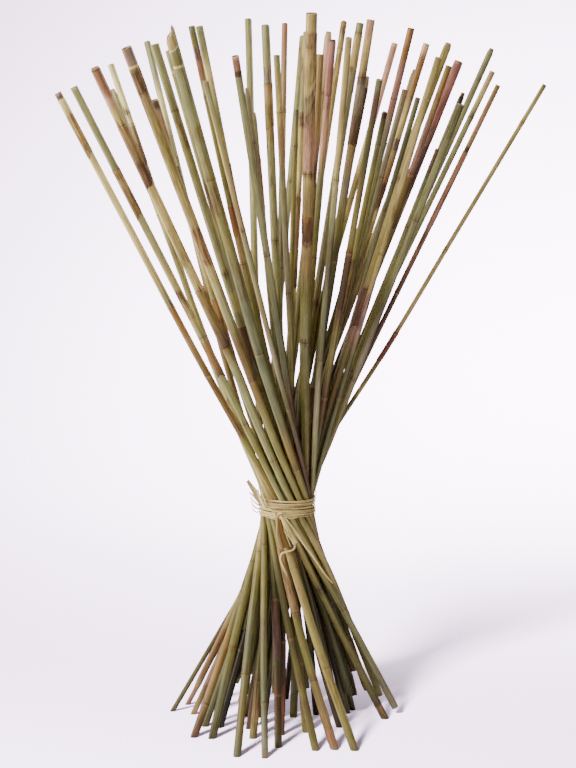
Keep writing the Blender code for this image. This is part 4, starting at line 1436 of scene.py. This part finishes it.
@dataclass
class Raffia:
    """The raffia: five turns of split palm fibre, a knot in front and two free ends."""

    material: bpy.types.Material
    turns: float = 5.12
    pitch: float = 4.2 * MM
    top: float = 297.5 * MM
    start: float = math.radians(-150)
    steps: int = 72  # rings to a turn
    step: float = 1.2 * MM  # between the rings of a free end or blade
    end_width: float = 2.8 * MM
    long_length: float = 0.100
    long_end: tuple[Point, ...] = (
        (-2.6, -41.5, 274), (4, -44, 265), (17, -45, 249), (29, -44, 232),
        (39, -42, 217), (48, -40, 204), (56, -38, 194),
    )
    looped_length: float = 0.085
    looped_end: tuple[Point, ...] = (
        (-11, -42, 271), (-5, -43.5, 262), (3, -45.5, 253), (8.5, -47, 245), (6.5, -48, 239),
        (-1, -48, 236.5), (-8, -47.5, 233.5), (-9.5, -48, 226), (-5.5, -50, 216), (-1, -52, 206),
    )
    fibres: tuple[Fibre, ...] = (
        Fibre(2.0, 0.6, 0.35, 0.0), Fibre(1.3, 0.6, 1.15, 0.9),
        Fibre(0.9, 0.5, 1.15, -1.0), Fibre(0.6, 0.45, 1.9, 0.3),
    )
    frayed: tuple[Blade, ...] = (
        Blade(((-33, -26, 293), (-38, -23.5, 301), (-43.5, -21, 310), (-51, -17, 321)),
              9.0, 5.4, 0.8),
        Blade(((-32, -27, 291), (-35, -25.5, 299), (-39.5, -23.5, 308), (-44, -21.5, 315)),
              5.0, 3.0, 0.5),
        Blade(((-35, -24, 293), (-40, -21.5, 298), (-45, -19.5, 303.5), (-49, -18, 306)),
              3.2, 1.92, 0.2),
        Blade(((-35.5, -23, 290), (-40.5, -21, 293), (-45.5, -20, 298), (-47.5, -19.5, 301)),
              2.4, 1.44, 0.1),
        Blade(((-35.8, -22.5, 286), (-40, -21, 287), (-44.5, -20, 291), (-46, -20, 296)),
              2.2, 1.32, 0.1),
        Blade(((-35.8, -22.5, 283), (-39.5, -21.5, 281.5), (-43.5, -20.5, 284),
               (-44, -20.5, 288.5)), 1.6, 0.96, 0.0),
        Blade(((-29, -32, 289), (-33, -29, 297), (-36.5, -26.5, 304), (-38, -25.5, 311)),
              4.5, 2.7, 0.1),
        Blade(((-26, -34, 290), (-29, -32, 298), (-32, -30.5, 306), (-33, -30, 312)),
              2.6, 1.56, 0.3),
        Blade(((30, -24, 296), (33, -21, 301), (35.5, -19, 306.5), (33.5, -19, 311)),
              1.4, 0.84, 0.6),
    )
    knot_centre: Point = (-11, -41.6, 281.5)
    folds: tuple[tuple[Point, float], ...] = (((7.0, 3.4, 5.2), 3.6), ((5.6, 2.8, 4.2), 2.6))
    strips: tuple[Blade, ...] = (
        Blade(((-9, -45, 281), (-3, -48, 271), (3, -50.5, 259), (9.5, -51.5, 247)),
              4.5, 8.0, 0.0),
        Blade(((-5, -45, 280), (3, -47.5, 271), (10.5, -48.8, 261), (17, -49, 252)),
              3.0, 1.8, 0.15),
        Blade(((-13, -43.5, 277), (-14, -46, 265), (-13, -48, 252), (-9, -49.3, 240)),
              1.8, 1.2, 0.1),
        Blade(((-11, -43, 278), (-10, -46, 266), (-7.3, -48.2, 253), (-3.2, -49.3, 241.5)),
              7.0, 13.5, 1.0),
        Blade(((-8, -44.5, 277), (-4.4, -47.6, 266), (-0.8, -49.8, 254), (3.2, -50.6, 243)),
              1.6, 1.2, 0.0),
        Blade(((-14, -42.5, 283), (-19, -41.5, 287), (-24, -39, 289), (-29, -36, 288)),
              3.0, 2.0, 0.1),
        Blade(((-10, -45, 284), (-15, -44, 279), (-20, -41.5, 277.5), (-26, -38.5, 280)),
              2.4, 1.6, 0.3),
        Blade(((-6, -43.8, 283), (-1, -44.3, 279), (5, -43.8, 277.5), (12, -42.3, 279)),
              2.6, 1.6, 0.1),
    )

    def build_ends(self) -> None:
        """The two free ends, each its own piece."""
        for name, points, length in (
            ("raffia_end_long", self.long_end, self.long_length),
            ("raffia_end_looped", self.looped_end, self.looped_length),
        ):
            route = smooth_route(points, self.step)
            run = np.linspace(0, 1, len(route))
            # Each end twists on its way, and thins out unevenly to its tip
            out = np.tile([0.15, -1.0, 0.1], (len(route), 1))
            out[:, 0] += 0.5 * np.sin(7 * run)
            width = self.end_width * (1.0 - 0.55 * run**3) * (1 + 0.12 * np.sin(23 * run))
            end = joined(name, [ribbon(name, route, out, width, 0.6 * MM)], self.material)
            declare(end, name, "raffia")

    def build_wrap(self, reach: Callable[[float, float], float]) -> None:
        """The turns round the reeds, and the frayed blades that stick out of them.

        Args:
            reach: gives how far off the axis the reeds' outline lies, by angle and height.
        """
        parts = []
        turned = np.arange(round(self.turns * self.steps) + 1) / self.steps
        angle = self.start + math.tau * turned
        facing = np.column_stack([np.cos(angle), np.sin(angle), 0 * angle])
        for k, fibre in enumerate(self.fibres):
            # Each fibre wanders up and down by itself, the outer ones further
            wander = 0.7 * np.sin(1.31 * angle + 2.1 * k) + 0.5 * np.sin(2.17 * angle + 1.3 * k)
            height = (
                self.top - self.pitch * turned + fibre.lift * MM + wander * MM * (0.5 + 0.25 * k)
            )
            distance = np.array([reach(a, h) for a, h in zip(angle, height)])
            distance += (fibre.off + 0.5 * fibre.thick) * MM
            # A fibre is too stiff to follow every stem, so its distance is evened out
            distance = np.convolve(np.pad(distance, 2, mode="edge"), np.full(5, 0.2), mode="valid")
            centres = facing * distance[:, None] + np.array(TIE_AXIS)
            centres[:, 2] = height
            uneven = 1 + 0.22 * np.sin(3.7 * angle + k) + 0.12 * np.sin(9.1 * angle)
            width = fibre.width * MM * uneven
            parts.append(ribbon(f"fibre_{k}", centres, facing, width, fibre.thick * MM))
        for k, blade in enumerate(self.frayed):
            parts.append(blade.build(f"short_{k}", (-0.5, -1.0, 0.2), self.step, curve=2))
        declare(joined("raffia_wrap", parts, self.material), "raffia_wrap", "raffia")

    def build_knot(self) -> None:
        """The knot: a fibre folded over and under itself, and the split strips under it."""
        centre = np.array(self.knot_centre) * MM + np.array(TIE_AXIS)
        parts = []
        for k, (size, width) in enumerate(self.folds):
            # A trefoil, which passes over and under itself
            t = np.linspace(0.3 + k, 0.3 + k + math.tau, 90)
            shape = np.column_stack([
                (np.sin(t) + 2 * np.sin(2 * t)) / 3,
                np.sin(3 * t),
                (np.cos(t) - 2 * np.cos(2 * t)) / 3,
            ])
            route = centre + shape * np.array(size) * MM
            out = shape * (1, 0.3, 1) + np.array([0, -0.8, 0])
            width = np.full(len(route), width * MM)
            parts.append(ribbon(f"fold_{k}", route, out, width, 0.5 * MM))
        for k, blade in enumerate(self.strips):
            parts.append(blade.build(f"strip_{k}", (0.25, -1.0, 0.1), self.step))
        declare(joined("raffia_knot", parts, self.material), "raffia_knot", "raffia")


# The bunch


@dataclass
class Bunch:
    """All stems."""

    material: bpy.types.Material
    slots: dict[str, str]  # the material slot of each node
    stems: list[Stem] = field(default_factory=list)

    def build(self) -> None:
        """Build and dress every stem on its solid."""
        for name in sorted(node for node in frame["nodes"] if node.startswith("reed_")):
            number = int(name.removeprefix("reed_"))
            line = StemLine.of_node(frame["nodes"][name])
            stem = Stem(number, line, DRESSES[number], self.material)
            self.stems.append(stem)
            declare(stem.build(), name, self.slots[name])


@dataclass(frozen=True)
class Girdle:
    """The outline of all stems through the tie, for the raffia to lie on."""

    levels: np.ndarray
    centres: np.ndarray  # of each stem at each level, off the tie's axis
    leans: np.ndarray
    radii: np.ndarray

    @classmethod
    def of_stems(cls, stems: list[Stem], slack: float = 1.03) -> "Girdle":
        """Measure the stems' places, leans and radii at levels through the tie.

        Args:
            stems: the built stems.
            slack: what their radii are taken times, so that no fibre cuts into a stem.

        Returns:
            The girdle.
        """
        levels = np.linspace(255 * MM, 315 * MM, 31)
        centres = np.stack([stem.line.at(levels)[:, :2] for stem in stems], axis=1)
        along = np.stack([stem.line.direction(levels) for stem in stems], axis=1)
        radii = [stem.line.radius(levels) + stem.profile(levels) for stem in stems]
        leans = along[..., :2] / along[..., 2:]
        return cls(levels, centres - np.array(TIE_AXIS)[:2], leans, np.stack(radii, axis=1) * slack)

    def reach(self, angle: float, height: float) -> float:
        """How far off the tie's axis a tight band round all stems lies.

        Args:
            angle: the direction in radians.
            height: the height in metres.

        Returns:
            The distance in metres.
        """
        # The band lies on the nearest of the outline's tangents, up to 1.5 radians to each side
        normals = np.linspace(-1.5, 1.5, 61) + angle
        facing = np.stack([np.cos(normals), np.sin(normals)])
        support = np.full(len(normals), -1.0)
        for up in (height - 1.3 * MM, height + 1.3 * MM):
            k = int(np.clip(np.searchsorted(self.levels, up) - 1, 0, len(self.levels) - 2))
            share = (up - self.levels[k]) / (self.levels[k + 1] - self.levels[k])
            centre = self.centres[k] + share * (self.centres[k + 1] - self.centres[k])
            wider = np.sqrt(1 + (self.leans[k] @ facing) ** 2)  # a leaning stem is cut as an oval
            reaches = centre @ facing + self.radii[k][:, None] * wider
            support = np.maximum(support, reaches.max(axis=0))
        return float(np.min(support / np.cos(normals - angle)))


def main() -> None:
    """Build the studio, the raffia and the stems, and report each piece."""
    logging.basicConfig(level=logging.INFO, format="%(name)s: %(message)s")
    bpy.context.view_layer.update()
    Studio().build()
    log.info("studio: sweep, lights and camera")
    raffia = Raffia(RaffiaFinish().make())
    raffia.build_ends()
    slots = {part["node"]: part["material_slot"] for part in frame["record"]["subparts"]}
    bunch = Bunch(ReedFinish().make(), slots)
    bunch.build()
    log.info("bunch: %d stems", len(bunch.stems))
    raffia.build_wrap(Girdle.of_stems(bunch.stems).reach)
    raffia.build_knot()


if __name__ == "__main__":
    main()
